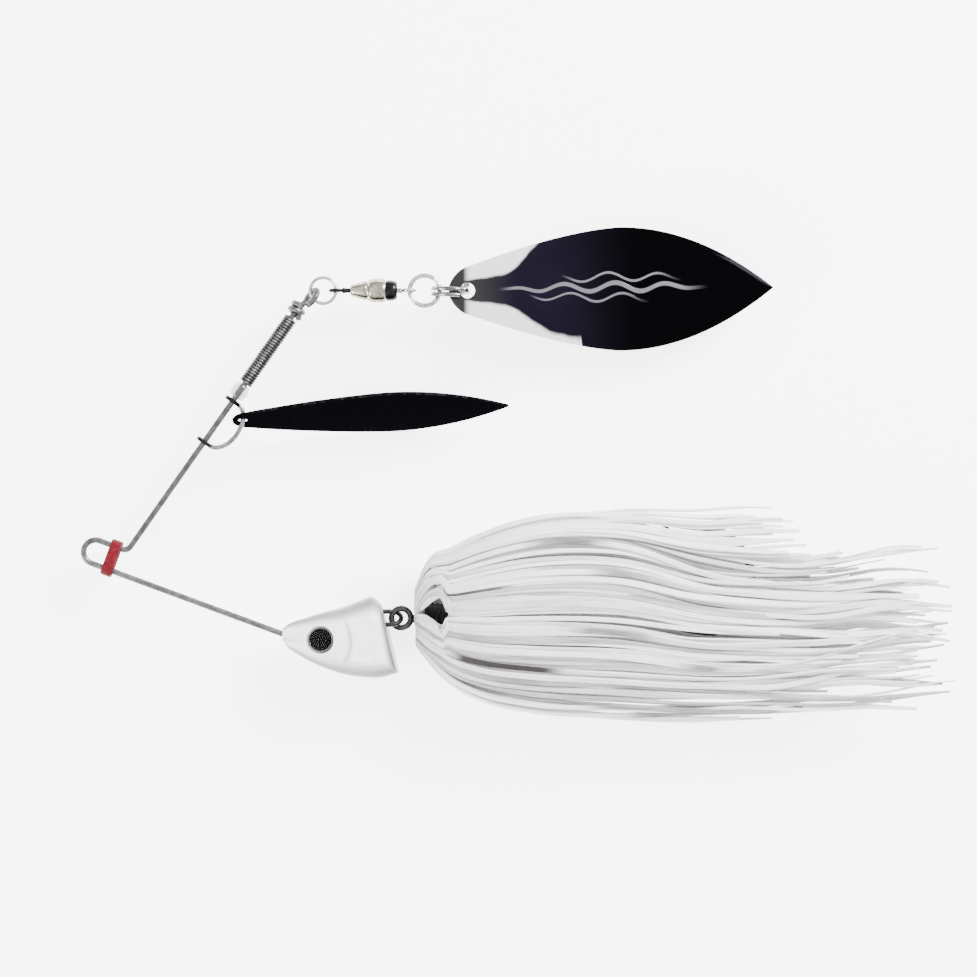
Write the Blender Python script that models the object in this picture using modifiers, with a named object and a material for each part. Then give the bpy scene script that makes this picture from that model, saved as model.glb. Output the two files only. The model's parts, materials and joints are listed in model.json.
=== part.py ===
"""Tandem willow-leaf spinnerbait with a swinging hook, lying on its side.

The whole lure lies along one plane, LURE_PLANE above the surface that the head's cheek
rests on.  +X runs from the head to the skirt's tips, +Y from the hook to the blades,
+Z up from the surface.  The origin is the middle of the flat on the head's lower cheek.
Sizes are in millimetres and angles in degrees; metres() turns them into Blender's units.
"""
from math import cos, pi, radians, sin

import bmesh
import bpy
import numpy as np
from mathutils import Matrix, Vector

MM = 0.001

# Driving dimensions
HEAD_THICKNESS = 12.0
LURE_PLANE = HEAD_THICKNESS / 2
HEAD_LENGTH = 19.2
NOSE_BACK = 12.0
NOSE_LIFT = 1.0
WIRE_RADIUS = 0.5
RUNNING_GAP = 0.2
LOWER_ARM_LENGTH = 34.0
LOWER_ARM_ANGLE = 159.7
TIE_SPACING = 4.0
TIE_LEG_LENGTH = 5.0
UPPER_ARM_LENGTH = 52.1
UPPER_ARM_ANGLE = 55.0
ARM_EYE_RADIUS = 1.5
ARM_EYE_TILT = 65.0
ARM_EYE_OFFSET = 0.8
CLEVIS_PLACE = 22.2
CLEVIS_SPAN = 8.3
CLEVIS_REACH = 3.7
CLEVIS_WIRE = 0.4
CLEVIS_PULL = 37.0
BEAD_LENGTH = 2.6
BEAD_RADIUS = 1.5
SLEEVE_LENGTH = 13.6
SLEEVE_RADIUS = 1.2
RING_A_RADIUS = 2.15
RING_A_WIRE = 0.35
RING_A_ANGLE = 31.0
RING_A_PLAY = 0.15
RING_B_RADIUS = 2.5
RING_B_WIRE = 0.4
RING_B_PLAY = 0.1
SPLIT_RING_RADIUS = 2.85
SPLIT_RING_WIRE = 0.4
SPLIT_RING_PITCH = 0.95
SPLIT_RING_INSET = 1.05
SWIVEL_EYE_RADIUS = 0.95
SWIVEL_EYE_WIRE = 0.3
SWIVEL_RADIUS = 2.0
SWIVEL_LENGTH = 7.8
SWIVEL_FRONT_STEM = 1.15
SWIVEL_REAR_STEM = 0.7
BIG_BLADE_LENGTH = 54.2
BIG_BLADE_WIDTH = 20.6
BIG_BLADE_CUP = 1.7
BIG_BLADE_HEADING = 0.6
BIG_BLADE_WIDEST = 0.53
SMALL_BLADE_LENGTH = 46.2
SMALL_BLADE_WIDTH = 13.0
SMALL_BLADE_CUP = 1.3
SMALL_BLADE_HEADING = 3.2
SMALL_BLADE_ROLL = 63.5
SMALL_BLADE_WIDEST = 0.58
BLADE_THICKNESS = 0.5
BIG_BLADE_HOLE_RADIUS = 1.35
BIG_BLADE_RIM = 1.85
SMALL_BLADE_HOLE_RADIUS = 0.9
SMALL_BLADE_RIM = 0.9
HOOK_LENGTH = 58.7
HOOK_GAP = 17.8
HOOK_ANGLE = -3.0
HOOK_WIRE = 0.7
HOOK_EYE_RADIUS = 1.6
HOOK_EYE_WIRE = 0.5
HOOK_EYE_GAP = 0.5
HOOK_EYE_LIFT = 3.67
HANGER_WIRE = 0.4
HANGER_HALF_WIDTH = 1.6
HANGER_TILT = 40.0
HANGER_DEPTH = 4.0
COLLAR_PLACE = 5.9
COLLAR_LENGTH = 3.9
COLLAR_RADIUS = 2.9
SKIRT_LENGTH = 89.2
SKIRT_LANES = 4
SKIRT_INSET = 2.3
EYE_RADIUS = 2.2
EYE_SEAT = 3.7
BAND_WIDTH = 1.9
BAND_WALL = 0.45
BAND_PLACE = 2.9


def direction(angle):
    """The unit vector in the lure's plane at an angle from +X."""
    return Vector((cos(radians(angle)), sin(radians(angle)), 0.0))


def metres(points):
    return [Vector(p) * MM for p in points]


# Places that several pieces share
PLANE = Vector((0.0, 0.0, LURE_PLANE))
NOSE = Vector((-NOSE_BACK, NOSE_LIFT, 0.0)) + PLANE
HEAD_TAIL_X = NOSE.x + HEAD_LENGTH
ARM_BACK = direction(LOWER_ARM_ANGLE)
ARM_SIDE = direction(LOWER_ARM_ANGLE - 90.0)
LOWER_END = NOSE + ARM_BACK * LOWER_ARM_LENGTH
UPPER_START = LOWER_END + ARM_SIDE * TIE_SPACING - ARM_BACK * TIE_LEG_LENGTH
ARM_UP = direction(UPPER_ARM_ANGLE)
ARM_OUT = direction(UPPER_ARM_ANGLE - 90.0)
ARM_EYE = UPPER_START + ARM_UP * UPPER_ARM_LENGTH + ARM_OUT * ARM_EYE_OFFSET
RING_A_PULL = direction(RING_A_ANGLE)
RING_A = ARM_EYE + RING_A_PULL * (RING_A_RADIUS + RING_A_PLAY)
FRONT_EYE = RING_A + Vector((RING_A_RADIUS, 0, 0))
SWIVEL_EYE_REACH = SWIVEL_EYE_RADIUS + SWIVEL_EYE_WIRE
SWIVEL_FRONT = FRONT_EYE + Vector((SWIVEL_EYE_REACH + SWIVEL_FRONT_STEM, 0, 0))
REAR_EYE = SWIVEL_FRONT + Vector((SWIVEL_LENGTH + SWIVEL_REAR_STEM + SWIVEL_EYE_REACH, 0, 0))
RING_B = REAR_EYE + Vector((RING_B_RADIUS + RING_B_PLAY, 0, 0))
SPLIT_RING = RING_B + Vector((RING_B_RADIUS - SPLIT_RING_INSET + SPLIT_RING_RADIUS, 0, 0))
BIG_BLADE_HOLE = SPLIT_RING + Vector((SPLIT_RING_RADIUS, 0, 0))
CLEVIS_MIDDLE = UPPER_START + ARM_UP * (CLEVIS_PLACE + CLEVIS_SPAN / 2)
CLEVIS_EYELET = WIRE_RADIUS + RUNNING_GAP + CLEVIS_WIRE


def clevis_bow(angle):
    """A point on the bow's half ellipse, from the lower eyelet (-90) to the upper one (90)."""
    along = CLEVIS_SPAN / 2 * sin(radians(angle))
    out = CLEVIS_EYELET + (CLEVIS_REACH - CLEVIS_EYELET) * cos(radians(angle))
    return CLEVIS_MIDDLE + ARM_UP * along + ARM_OUT * out


SMALL_BLADE_HOLE = clevis_bow(CLEVIS_PULL)
HOOK_EYE = Vector((HEAD_TAIL_X + HOOK_EYE_GAP, HOOK_EYE_LIFT, LURE_PLANE))
SHANK = direction(HOOK_ANGLE)
SHANK_SIDE = direction(HOOK_ANGLE + 90.0)
COLLAR = HOOK_EYE + SHANK * COLLAR_PLACE
SKIRT_FRONT = HOOK_EYE.x + SKIRT_INSET
BAND = NOSE + ARM_BACK * (LOWER_ARM_LENGTH - BAND_PLACE) + ARM_SIDE * (TIE_SPACING / 2)


def fresh_collection(name):
    collection = bpy.data.collections.new(name)
    bpy.context.scene.collection.children.link(collection)
    return collection


def material(name, colour, metallic, roughness, alpha=1.0):
    made = bpy.data.materials.new(name)
    made.use_nodes = True
    shader = made.node_tree.nodes["Principled BSDF"]
    shader.inputs["Base Color"].default_value = (*colour, 1.0)
    shader.inputs["Metallic"].default_value = metallic
    shader.inputs["Roughness"].default_value = roughness
    shader.inputs["Alpha"].default_value = alpha
    return made


def collect(obj, collection):
    for old in list(obj.users_collection):
        old.objects.unlink(obj)
    collection.objects.link(obj)
    return obj


def part(obj, name, look, joint=None):
    """Names a finished object, gives it its material and hangs it on its joint's empty."""
    obj.name = name
    obj.data.name = name
    obj.data.materials.clear()
    obj.data.materials.append(look)
    collect(obj, PARTS)
    if joint is not None:
        obj.parent = joint
        obj.matrix_parent_inverse = joint.matrix_world.inverted()
    return obj


def tool(obj, name):
    """A cutter or a joined-on shape, kept out of the finished model."""
    obj.name = name
    obj.hide_render = True
    obj.display_type = "WIRE"
    return collect(obj, CUTTERS)


def joint_empty(name, place):
    empty = bpy.data.objects.new(name, None)
    empty.empty_display_size = 3 * MM
    empty.location = place * MM
    PARTS.objects.link(empty)
    bpy.context.view_layer.update()
    return empty


def combine(obj, other, operation):
    modifier = obj.modifiers.new(operation.lower(), "BOOLEAN")
    modifier.operation = operation
    modifier.solver = "EXACT"
    modifier.object = other
    return obj


def from_mesh(name, vertices, edges, faces):
    mesh = bpy.data.meshes.new(name)
    mesh.from_pydata(metres(vertices), edges, faces)
    obj = bpy.data.objects.new(name, mesh)
    PARTS.objects.link(obj)
    return obj


def smooth(obj, angle=40.0):
    obj.data.shade_smooth()
    obj.data.set_sharp_from_angle(angle=radians(angle))
    return obj


def wire(name, points, radius, taper=None):
    """A round wire along points, made a closed mesh; taper scales the radius at each point."""
    curve = bpy.data.curves.new(name, "CURVE")
    curve.dimensions = "3D"
    curve.bevel_depth = radius * MM
    curve.bevel_resolution = 2
    curve.use_fill_caps = True
    spline = curve.splines.new("POLY")
    spline.points.add(len(points) - 1)
    for index, point in enumerate(metres(points)):
        spline.points[index].co = (*point, 1.0)
        spline.points[index].radius = 1.0 if taper is None else taper[index]
    source = bpy.data.objects.new(name, curve)
    PARTS.objects.link(source)
    bpy.context.view_layer.update()
    evaluated = source.evaluated_get(bpy.context.evaluated_depsgraph_get())
    mesh = bpy.data.meshes.new_from_object(evaluated)
    work = bmesh.new()
    work.from_mesh(mesh)
    bmesh.ops.remove_doubles(work, verts=work.verts, dist=0.001 * MM)
    work.to_mesh(mesh)
    work.free()
    obj = bpy.data.objects.new(name, mesh)
    obj.matrix_world = source.matrix_world
    PARTS.objects.link(obj)
    bpy.data.objects.remove(source)
    bpy.data.curves.remove(curve)
    return smooth(obj)


def arc(centre, first, second, radius, start, end, count):
    """Points on a circle in the plane of two unit vectors."""
    angles = np.linspace(radians(start), radians(end), count)
    return [centre + first * (radius * cos(a)) + second * (radius * sin(a)) for a in angles]


def ring(name, centre, axis, radius, wire_radius, around=24, across=8):
    turn = Vector(axis).to_track_quat("Z", "Y")
    bpy.ops.mesh.primitive_torus_add(
        major_radius=radius * MM,
        minor_radius=wire_radius * MM,
        major_segments=around,
        minor_segments=across,
        location=centre * MM,
        rotation=turn.to_euler(),
    )
    obj = bpy.context.object
    obj.name = name
    obj.data.shade_smooth()
    return obj


def turned(name, profile, base, axis, steps=20):
    """A lathe shape: (radius, height) pairs down its outer side, closed if its ends leave the axis."""
    count = len(profile)
    closed = profile[0][0] > 0
    edges = [(i, i + 1) for i in range(count - 1)]
    if closed:
        edges.append((count - 1, 0))
    obj = from_mesh(name, [(r, 0.0, h) for r, h in profile], edges, [])
    screw = obj.modifiers.new("turn", "SCREW")
    screw.axis = "Z"
    screw.steps = steps
    screw.render_steps = steps
    screw.use_merge_vertices = True
    screw.merge_threshold = 0.000001
    screw.use_smooth_shade = True
    obj.rotation_euler = Vector(axis).to_track_quat("Z", "Y").to_euler()
    obj.location = base * MM
    return obj


def rod(name, start, end, radius, sides=16):
    """A plain cylinder between two points."""
    along = end - start
    bpy.ops.mesh.primitive_cylinder_add(
        vertices=sides,
        radius=radius * MM,
        depth=along.length * MM,
        location=(start + along / 2) * MM,
        rotation=along.to_track_quat("Z", "Y").to_euler(),
    )
    obj = bpy.context.object
    obj.name = name
    return smooth(obj)


def tube_profile(inner, outer, length):
    half = length / 2
    return [(outer, half), (outer, -half), (inner, -half), (inner, half)]


def main_wire():
    """One steel wire: out of the nose, round the line tie, up the arm and round the arm's eye."""
    tie_centre = LOWER_END + ARM_SIDE * (TIE_SPACING / 2)
    points = [NOSE - ARM_BACK * (HEAD_LENGTH * 0.55), NOSE - ARM_BACK * 3.0, NOSE]
    points += [LOWER_END - ARM_BACK * 8.0]
    points += arc(tie_centre, ARM_BACK, ARM_SIDE, TIE_SPACING / 2, -90, 90, 13)
    bend_radius = 1.2
    turn = LOWER_ARM_ANGLE - 180.0
    bend_start = UPPER_START + ARM_BACK * 1.0
    bend_centre = bend_start + ARM_SIDE * bend_radius
    points += arc(
        bend_centre, direction(0), direction(90), bend_radius, turn - 90, UPPER_ARM_ANGLE - 90, 7
    )
    lean = radians(ARM_EYE_TILT)
    eye_side = ARM_OUT * cos(lean) + Vector((0, 0, sin(lean)))
    arm_end = ARM_EYE - ARM_OUT * ARM_EYE_OFFSET
    points += [arm_end - ARM_UP * (UPPER_ARM_LENGTH * 0.5)]
    points += [arm_end - ARM_UP * (ARM_EYE_RADIUS * 1.45)]
    points += arc(ARM_EYE, ARM_UP, eye_side, ARM_EYE_RADIUS, -130, 145, 20)
    return part(wire("main_wire", points, WIRE_RADIUS), "main_wire", STEEL)


def tie_band(joint):
    """A flat elastic sleeve round both legs of the line tie."""
    curve = bpy.data.curves.new("tie_band", "CURVE")
    curve.dimensions = "2D"
    curve.fill_mode = "BOTH"
    curve.extrude = BAND_WIDTH / 2 * MM
    inner = WIRE_RADIUS + RUNNING_GAP
    for radius in (inner + BAND_WALL, inner):
        reach = Vector((0.0, TIE_SPACING / 2, 0.0))
        outline = arc(reach, Vector((1, 0, 0)), Vector((0, 1, 0)), radius, 0, 180, 9)
        outline += arc(-reach, Vector((1, 0, 0)), Vector((0, 1, 0)), radius, 180, 360, 9)
        spline = curve.splines.new("POLY")
        spline.points.add(len(outline) - 1)
        spline.use_cyclic_u = True
        for index, point in enumerate(metres(outline)):
            spline.points[index].co = (*point, 1.0)
    obj = bpy.data.objects.new("tie_band", curve)
    PARTS.objects.link(obj)
    axes = Matrix((Vector((0, 0, -1)), ARM_SIDE, ARM_BACK)).transposed().to_4x4()
    obj.matrix_world = Matrix.Translation(BAND * MM) @ axes
    bpy.context.view_layer.update()
    return part(obj, "tie_band", RED_RUBBER, joint)


def clevis(joint):
    """A wire stirrup: an eyelet round the arm at each end and a bow that carries the blade."""
    bow = [clevis_bow(angle) for angle in np.linspace(-90, 90, 17)]
    obj = part(wire("clevis", bow, CLEVIS_WIRE), "clevis", STEEL, joint)
    for side, end in (("lower", -1), ("upper", 1)):
        centre = CLEVIS_MIDDLE + ARM_UP * (end * CLEVIS_SPAN / 2)
        eye = ring("eyelet", centre, ARM_UP, CLEVIS_EYELET, CLEVIS_WIRE, 20)
        combine(obj, tool(eye, "join_clevis_" + side), "UNION")
    return obj


def blade_half_width(s, width, length, widest):
    """Half the leaf's width at s of its length: a round front, a long swell and a sharp tip."""
    neck = 0.27
    behind = 1 - (np.maximum(s - widest, 0) / (1 - widest)) ** 2
    ahead = 1 - (1 - neck) * (np.maximum(widest - s, 0) / widest) ** 1.5
    front = neck * width / 2 / length
    rounding = np.sqrt(1 - (1 - np.minimum(s / front, 1)) ** 2)
    return np.maximum(width / 2 * behind * ahead * rounding, 0.12)


def blade(name, hole, drill, turns, size, widest, look, joint):
    """A cupped leaf of sheet metal with a hole for its ring near the front end.

    drill is the hole's radius and the metal left ahead of it, turns the heading and the
    roll, size the length, the width and the depth of the cup.
    """
    hole_radius, rim = drill
    heading, roll = turns
    length, width, cup = size
    setback = hole_radius + rim
    ends = np.array([0.004, 0.014, 0.032, 0.055, 0.09])
    rows = np.concatenate([ends, np.linspace(0.135, 0.97, 20), [0.996]])
    across = np.linspace(-1, 1, 9)
    half = blade_half_width(rows, width, length, widest)
    swell = np.sin(pi * np.clip((rows - 0.1) / 0.9, 0, 1) ** 0.8)
    grid_x = np.repeat(rows * length - setback, len(across))
    grid_y = np.outer(half, across).ravel()
    grid_z = np.outer(cup * swell, 1 - across ** 2).ravel()
    vertices = np.stack([grid_x, grid_y, grid_z], axis=1)
    columns = len(across)
    faces = []
    for row in range(len(rows) - 1):
        for column in range(columns - 1):
            corner = row * columns + column
            faces.append((corner, corner + columns, corner + columns + 1, corner + 1))
    obj = from_mesh(name, vertices.tolist(), [], faces)
    shell = obj.modifiers.new("sheet", "SOLIDIFY")
    shell.thickness = BLADE_THICKNESS * MM
    shell.offset = 0.0
    turn = Matrix.Rotation(radians(heading), 4, "Z") @ Matrix.Rotation(radians(roll), 4, "X")
    obj.matrix_world = Matrix.Translation(hole * MM) @ turn
    bpy.context.view_layer.update()
    normal = turn.to_3x3() @ Vector((0, 0, 1))
    cutter = rod("hole", hole - normal * 2, hole + normal * 2, hole_radius, 24)
    combine(obj, tool(cutter, "cut_" + name), "DIFFERENCE")
    obj.data.shade_smooth()
    return part(obj, name, look, joint)


def head():
    """A fish's head in cast lead: nose channel for the wire, eye sockets and holes for the hanger."""
    tops = np.array([(0, 1.0), (1.3, 1.9), (3.3, 2.6), (6.2, 3.5), (10.2, 4.6), (13.2, 5.75),
                     (14.9, 6.2), (16.4, 4.9)])
    bottoms = np.array([(0, -1.0), (1.1, -2.4), (3.1, -3.7), (6.0, -5.2), (10.0, -6.6),
                        (14.2, -7.2), (16.8, -7.1), (HEAD_LENGTH, -6.4)])
    sides = np.array([1.0, 2.2, 3.5, 5.0, 6.3, 6.9, 6.7, 5.6]) * HEAD_THICKNESS / 12.0
    knots = np.linspace(0, 1, len(tops))
    fine = np.linspace(0, 1, 22)
    top_x, top_y = (smooth_line(knots, tops[:, k], fine) for k in (0, 1))
    low_x, low_y = (smooth_line(knots, bottoms[:, k], fine) for k in (0, 1))
    thick = smooth_line(knots, sides, fine)
    count = 24
    angles = np.linspace(0, 2 * pi, count, endpoint=False)
    up = np.sign(np.cos(angles)) * np.abs(np.cos(angles)) ** 0.9
    out = np.sign(np.sin(angles)) * np.abs(np.sin(angles)) ** 0.8
    lift = (1 + up) / 2
    x = np.outer(low_x, 1 - lift) + np.outer(top_x, lift) + NOSE.x
    y = np.outer(low_y, 1 - lift) + np.outer(top_y, lift) + NOSE.y
    z = np.clip(np.outer(thick, out), -LURE_PLANE, LURE_PLANE) + LURE_PLANE
    vertices = np.stack([x, y, z], axis=2).reshape(-1, 3)
    faces = []
    for row in range(len(fine) - 1):
        for k in range(count):
            here = row * count + k
            beside = row * count + (k + 1) % count
            faces.append((here, here + count, beside + count, beside))
    last = (len(fine) - 1) * count
    faces.append(tuple(range(count)))
    faces.append(tuple(last + count - 1 - k for k in range(count)))
    obj = from_mesh("head", vertices.tolist(), [], faces)
    work = bmesh.new()
    work.from_mesh(obj.data)
    bmesh.ops.recalc_face_normals(work, faces=work.faces)
    work.to_mesh(obj.data)
    work.free()
    smooth(obj, 50)
    channel = rod(
        "channel",
        NOSE + ARM_BACK * 2.0,
        NOSE - ARM_BACK * (HEAD_LENGTH * 0.55 + 0.3),
        WIRE_RADIUS + RUNNING_GAP,
    )
    combine(obj, tool(channel, "cut_wire_channel"), "DIFFERENCE")
    for name, leg in (("left", 1), ("right", -1)):
        start = hanger_leg(leg) - Vector((HANGER_DEPTH + 0.3, 0, 0))
        hole = rod("hole", start, hanger_leg(leg) + Vector((6, 0, 0)), HANGER_WIRE + RUNNING_GAP)
        combine(obj, tool(hole, "cut_hanger_" + name), "DIFFERENCE")
        socket = eye_place(leg)
        outward = Vector((0, 0, leg))
        cutter = rod("socket", socket, socket + outward * 4, EYE_RADIUS + 0.1, 24)
        combine(obj, tool(cutter, "cut_socket_" + name), "DIFFERENCE")
    return part(obj, "head", PEARL_PAINT)


def smooth_line(knots, values, fine):
    """A smooth curve through values: piecewise cubics whose slopes are the neighbours' means."""
    slopes = np.gradient(values, knots)
    index = np.clip(np.searchsorted(knots, fine, side="right") - 1, 0, len(knots) - 2)
    span = knots[index + 1] - knots[index]
    t = (fine - knots[index]) / span
    leave = slopes[index] * span * (t ** 3 - 2 * t ** 2 + t)
    arrive = slopes[index + 1] * span * (t ** 3 - t ** 2)
    blend = 3 * t ** 2 - 2 * t ** 3
    return values[index] * (1 - blend) + values[index + 1] * blend + leave + arrive


def eye_place(side):
    """The middle of an eye socket's floor, on the +Z (1) or -Z (-1) cheek."""
    return Vector((NOSE.x + 6.5, NOSE.y - 0.7, LURE_PLANE + side * EYE_SEAT * HEAD_THICKNESS / 12.0))


def hanger_leg(side):
    """Where a leg of the hanger turns into its bow."""
    lean = radians(HANGER_TILT)
    offset = Vector((-HANGER_HALF_WIDTH, -sin(lean) * HANGER_HALF_WIDTH * side,
                     cos(lean) * HANGER_HALF_WIDTH * side))
    return HOOK_EYE + offset


def hook_hanger():
    """A wire staple in the back of the head, whose bow the hook's eye swings on."""
    lean = radians(HANGER_TILT)
    bow_side = Vector((0, -sin(lean), cos(lean)))
    centre = HOOK_EYE - Vector((HANGER_HALF_WIDTH, 0, 0))
    back = Vector((HANGER_DEPTH, 0, 0))
    points = [hanger_leg(-1) - back]
    points += arc(centre, Vector((1, 0, 0)), bow_side, HANGER_HALF_WIDTH, -90, 90, 13)
    points += [hanger_leg(1) - back]
    return part(wire("hook_hanger", points, HANGER_WIRE), "hook_hanger", STEEL)


def eyes():
    """On each cheek an iris disc, a pupil disc and a clear lens, stacked in the socket."""
    for name, side in (("left", 1), ("right", -1)):
        outward = Vector((0, 0, side))
        floor = eye_place(side) + outward * 0.05
        iris = turned("iris", [(0, 0.3), (EYE_RADIUS - 0.1, 0.3), (EYE_RADIUS - 0.1, 0), (0, 0)],
                      floor, outward, 24)
        part(iris, "eye_iris_" + name, IRIS)
        pupil_radius = EYE_RADIUS * 0.66
        pupil = turned("pupil", [(0, 0.12), (pupil_radius, 0.12), (pupil_radius, 0), (0, 0)],
                       floor + outward * 0.35, outward, 20)
        part(pupil, "eye_pupil_" + name, BLACK_PAINT)
        rim = EYE_RADIUS - 0.1
        bulge = [(rim * sin(a), 0.35 + 0.6 * cos(a)) for a in np.linspace(0, pi / 2, 6)]
        lens = turned("lens", bulge + [(rim, 0), (0, 0)], floor + outward * 0.52, outward, 24)
        part(lens, "eye_lens_" + name, CLEAR)


def arm_pieces(bead_joint, sleeve_joint):
    """The clear bead and the sleeve that hold the clevis off the swivel, threaded on the arm."""
    bore = WIRE_RADIUS + RUNNING_GAP
    clevis_top = CLEVIS_PLACE + CLEVIS_SPAN + CLEVIS_WIRE
    bead_middle = clevis_top + 0.3 + BEAD_LENGTH / 2
    half = BEAD_LENGTH / 2
    barrel = [(BEAD_RADIUS * (1 - 0.28 * t ** 2), -half * t) for t in np.linspace(-1, 1, 7)]
    bead = turned("bead", barrel + [(bore, -half), (bore, half)],
                  UPPER_START + ARM_UP * bead_middle, ARM_UP)
    part(bead, "arm_bead", CLEAR, bead_joint)
    sleeve_middle = bead_middle + half + 0.2 + SLEEVE_LENGTH / 2
    sleeve = turned("sleeve", tube_profile(bore, SLEEVE_RADIUS, SLEEVE_LENGTH),
                    UPPER_START + ARM_UP * sleeve_middle, ARM_UP)
    part(sleeve, "arm_sleeve", STEEL, sleeve_joint)


def swivel(barrel_joint, shaft_joint):
    """A ball-bearing swivel: barrel, bearing cap, balls and a headed shaft with an eye at each end."""
    along = Vector((1, 0, 0))
    shaft = 0.4
    bore = shaft + 0.15
    chamber = SWIVEL_RADIUS - 0.55
    cap_face = 4.75
    skirt = 5.9
    barrel = [(0.75, 0), (1.5, 2.8), (SWIVEL_RADIUS - 0.12, 3.6), (SWIVEL_RADIUS, 4.8),
              (SWIVEL_RADIUS - 0.12, skirt), (chamber, skirt), (chamber, 1.9), (bore, 1.9), (bore, 0)]
    shell = turned("barrel", barrel[::-1], SWIVEL_FRONT, along)
    part(shell, "swivel_barrel", NICKEL, barrel_joint)
    spigot = chamber - 0.1
    cap = [(spigot, cap_face), (spigot, skirt + 0.1), (SWIVEL_RADIUS - 0.3, skirt + 0.1),
           (SWIVEL_RADIUS - 0.65, SWIVEL_LENGTH), (bore, SWIVEL_LENGTH), (bore, cap_face)]
    part(turned("cap", cap[::-1], SWIVEL_FRONT, along), "swivel_cap", DARK_STEEL, barrel_joint)
    ball_radius = 0.3
    ball_place = cap_face - 0.08 - ball_radius
    for index in range(6):
        angle = 2 * pi * index / 6
        offset = Vector((ball_place, 0.82 * cos(angle), 0.82 * sin(angle)))
        bpy.ops.mesh.primitive_uv_sphere_add(
            segments=10, ring_count=6, radius=ball_radius * MM, location=(SWIVEL_FRONT + offset) * MM
        )
        ball = bpy.context.object
        ball.data.shade_smooth()
        part(ball, "swivel_ball_%d" % (index + 1), STEEL, barrel_joint)
    head_back = ball_place - ball_radius - 0.08
    studs = (
        ("swivel_front_eye", FRONT_EYE, 1, 2.0 + (SWIVEL_FRONT - FRONT_EYE).x, barrel_joint),
        ("swivel_rear_eye", REAR_EYE, -1, (REAR_EYE - SWIVEL_FRONT).x - head_back, shaft_joint),
    )
    for name, eye, way, reach, joint in studs:
        near = SWIVEL_EYE_RADIUS
        head_radius = spigot - 0.15
        stud = [(0, reach + 0.5), (head_radius, reach + 0.5), (head_radius, reach), (shaft, reach),
                (shaft, near), (0, near)]
        obj = turned(name, stud, eye, along * way)
        part(obj, name, STEEL, joint)
        loop = ring("loop", eye, (0, 1, 0), SWIVEL_EYE_RADIUS, SWIVEL_EYE_WIRE)
        combine(obj, tool(loop, "join_" + name), "UNION")


def split_ring(joint):
    """A double-wound wire ring in the plane across the blade."""
    turns = 1.9
    count = 50
    points = []
    for k in range(count):
        share = k / (count - 1)
        angle = 2 * pi * turns * share + radians(60)
        side = SPLIT_RING_PITCH * turns * (share - 0.5)
        spoke = Vector((cos(angle), 0, sin(angle))) * SPLIT_RING_RADIUS
        points.append(SPLIT_RING + spoke + Vector((0, side, 0)))
    part(wire("split_ring", points, SPLIT_RING_WIRE), "split_ring", STEEL, joint)


def hook(joint):
    """A long-shank hook: eye, straight shank, round bend, tapered point and barb."""
    bend_radius = HOOK_GAP / 2
    shank_end = HOOK_LENGTH - bend_radius - HOOK_WIRE
    bend_start = HOOK_EYE + SHANK * shank_end
    bend_centre = bend_start + SHANK_SIDE * bend_radius
    bend = arc(bend_centre, SHANK, SHANK_SIDE, bend_radius, -90, 90, 19)
    point_run = [bend[-1] - SHANK * reach + SHANK_SIDE * rise
                 for reach, rise in ((3.5, 0.2), (6.5, 0.5), (8.5, 0.8), (10.5, 1.1))]
    points = [HOOK_EYE + SHANK * HOOK_EYE_RADIUS, HOOK_EYE + SHANK * 8.0] + bend + point_run
    taper = [0.95] + [1.0] * (len(bend) + 2) + [0.85, 0.55, 0.12]
    obj = part(wire("hook", points, HOOK_WIRE, taper), "hook", DARK_STEEL, joint)
    eye = ring("eye", HOOK_EYE, (0, 0, 1), HOOK_EYE_RADIUS, HOOK_EYE_WIRE)
    combine(obj, tool(eye, "join_hook_eye"), "UNION")
    barb_root = point_run[1] + SHANK * 0.2
    barb = [
        barb_root - SHANK * 1.2,
        barb_root - SHANK_SIDE * 0.5,
        barb_root + SHANK * 1.9 - SHANK_SIDE * 1.5,
    ]
    cutter = wire("barb", barb, 0.32, [0.6, 1.0, 0.3])
    combine(obj, tool(cutter, "join_barb"), "UNION")


def skirt_outline(x):
    """The skirt's lower edge, upper edge and height over the lure's plane, x from its front."""
    knots = np.array([0.0, 1.8, 5.8, 10.8, 17.5, 33.0, 48.0, 63.0, 80.0, 89.2]) * SKIRT_LENGTH / 89.2
    depths = np.array([4.2, 6.8, 10.8, 13.4, 15.0, 16.2, 16.2, 15.5, 15.0, 14.3])
    heights = np.array([5.4, 9.8, 12.3, 14.8, 17.0, 17.5, 12.6, 10.7, 12.2, 11.5])
    rises = np.array([4.6, 6.5, 8.6, 9.9, 10.8, 10.4, 8.6, 7.0, 4.6, 3.6])
    low = COLLAR.y - smooth_line(knots, depths, x)
    top = COLLAR.y + smooth_line(knots, heights, x)
    return low, top, smooth_line(knots, rises, x)


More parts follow.
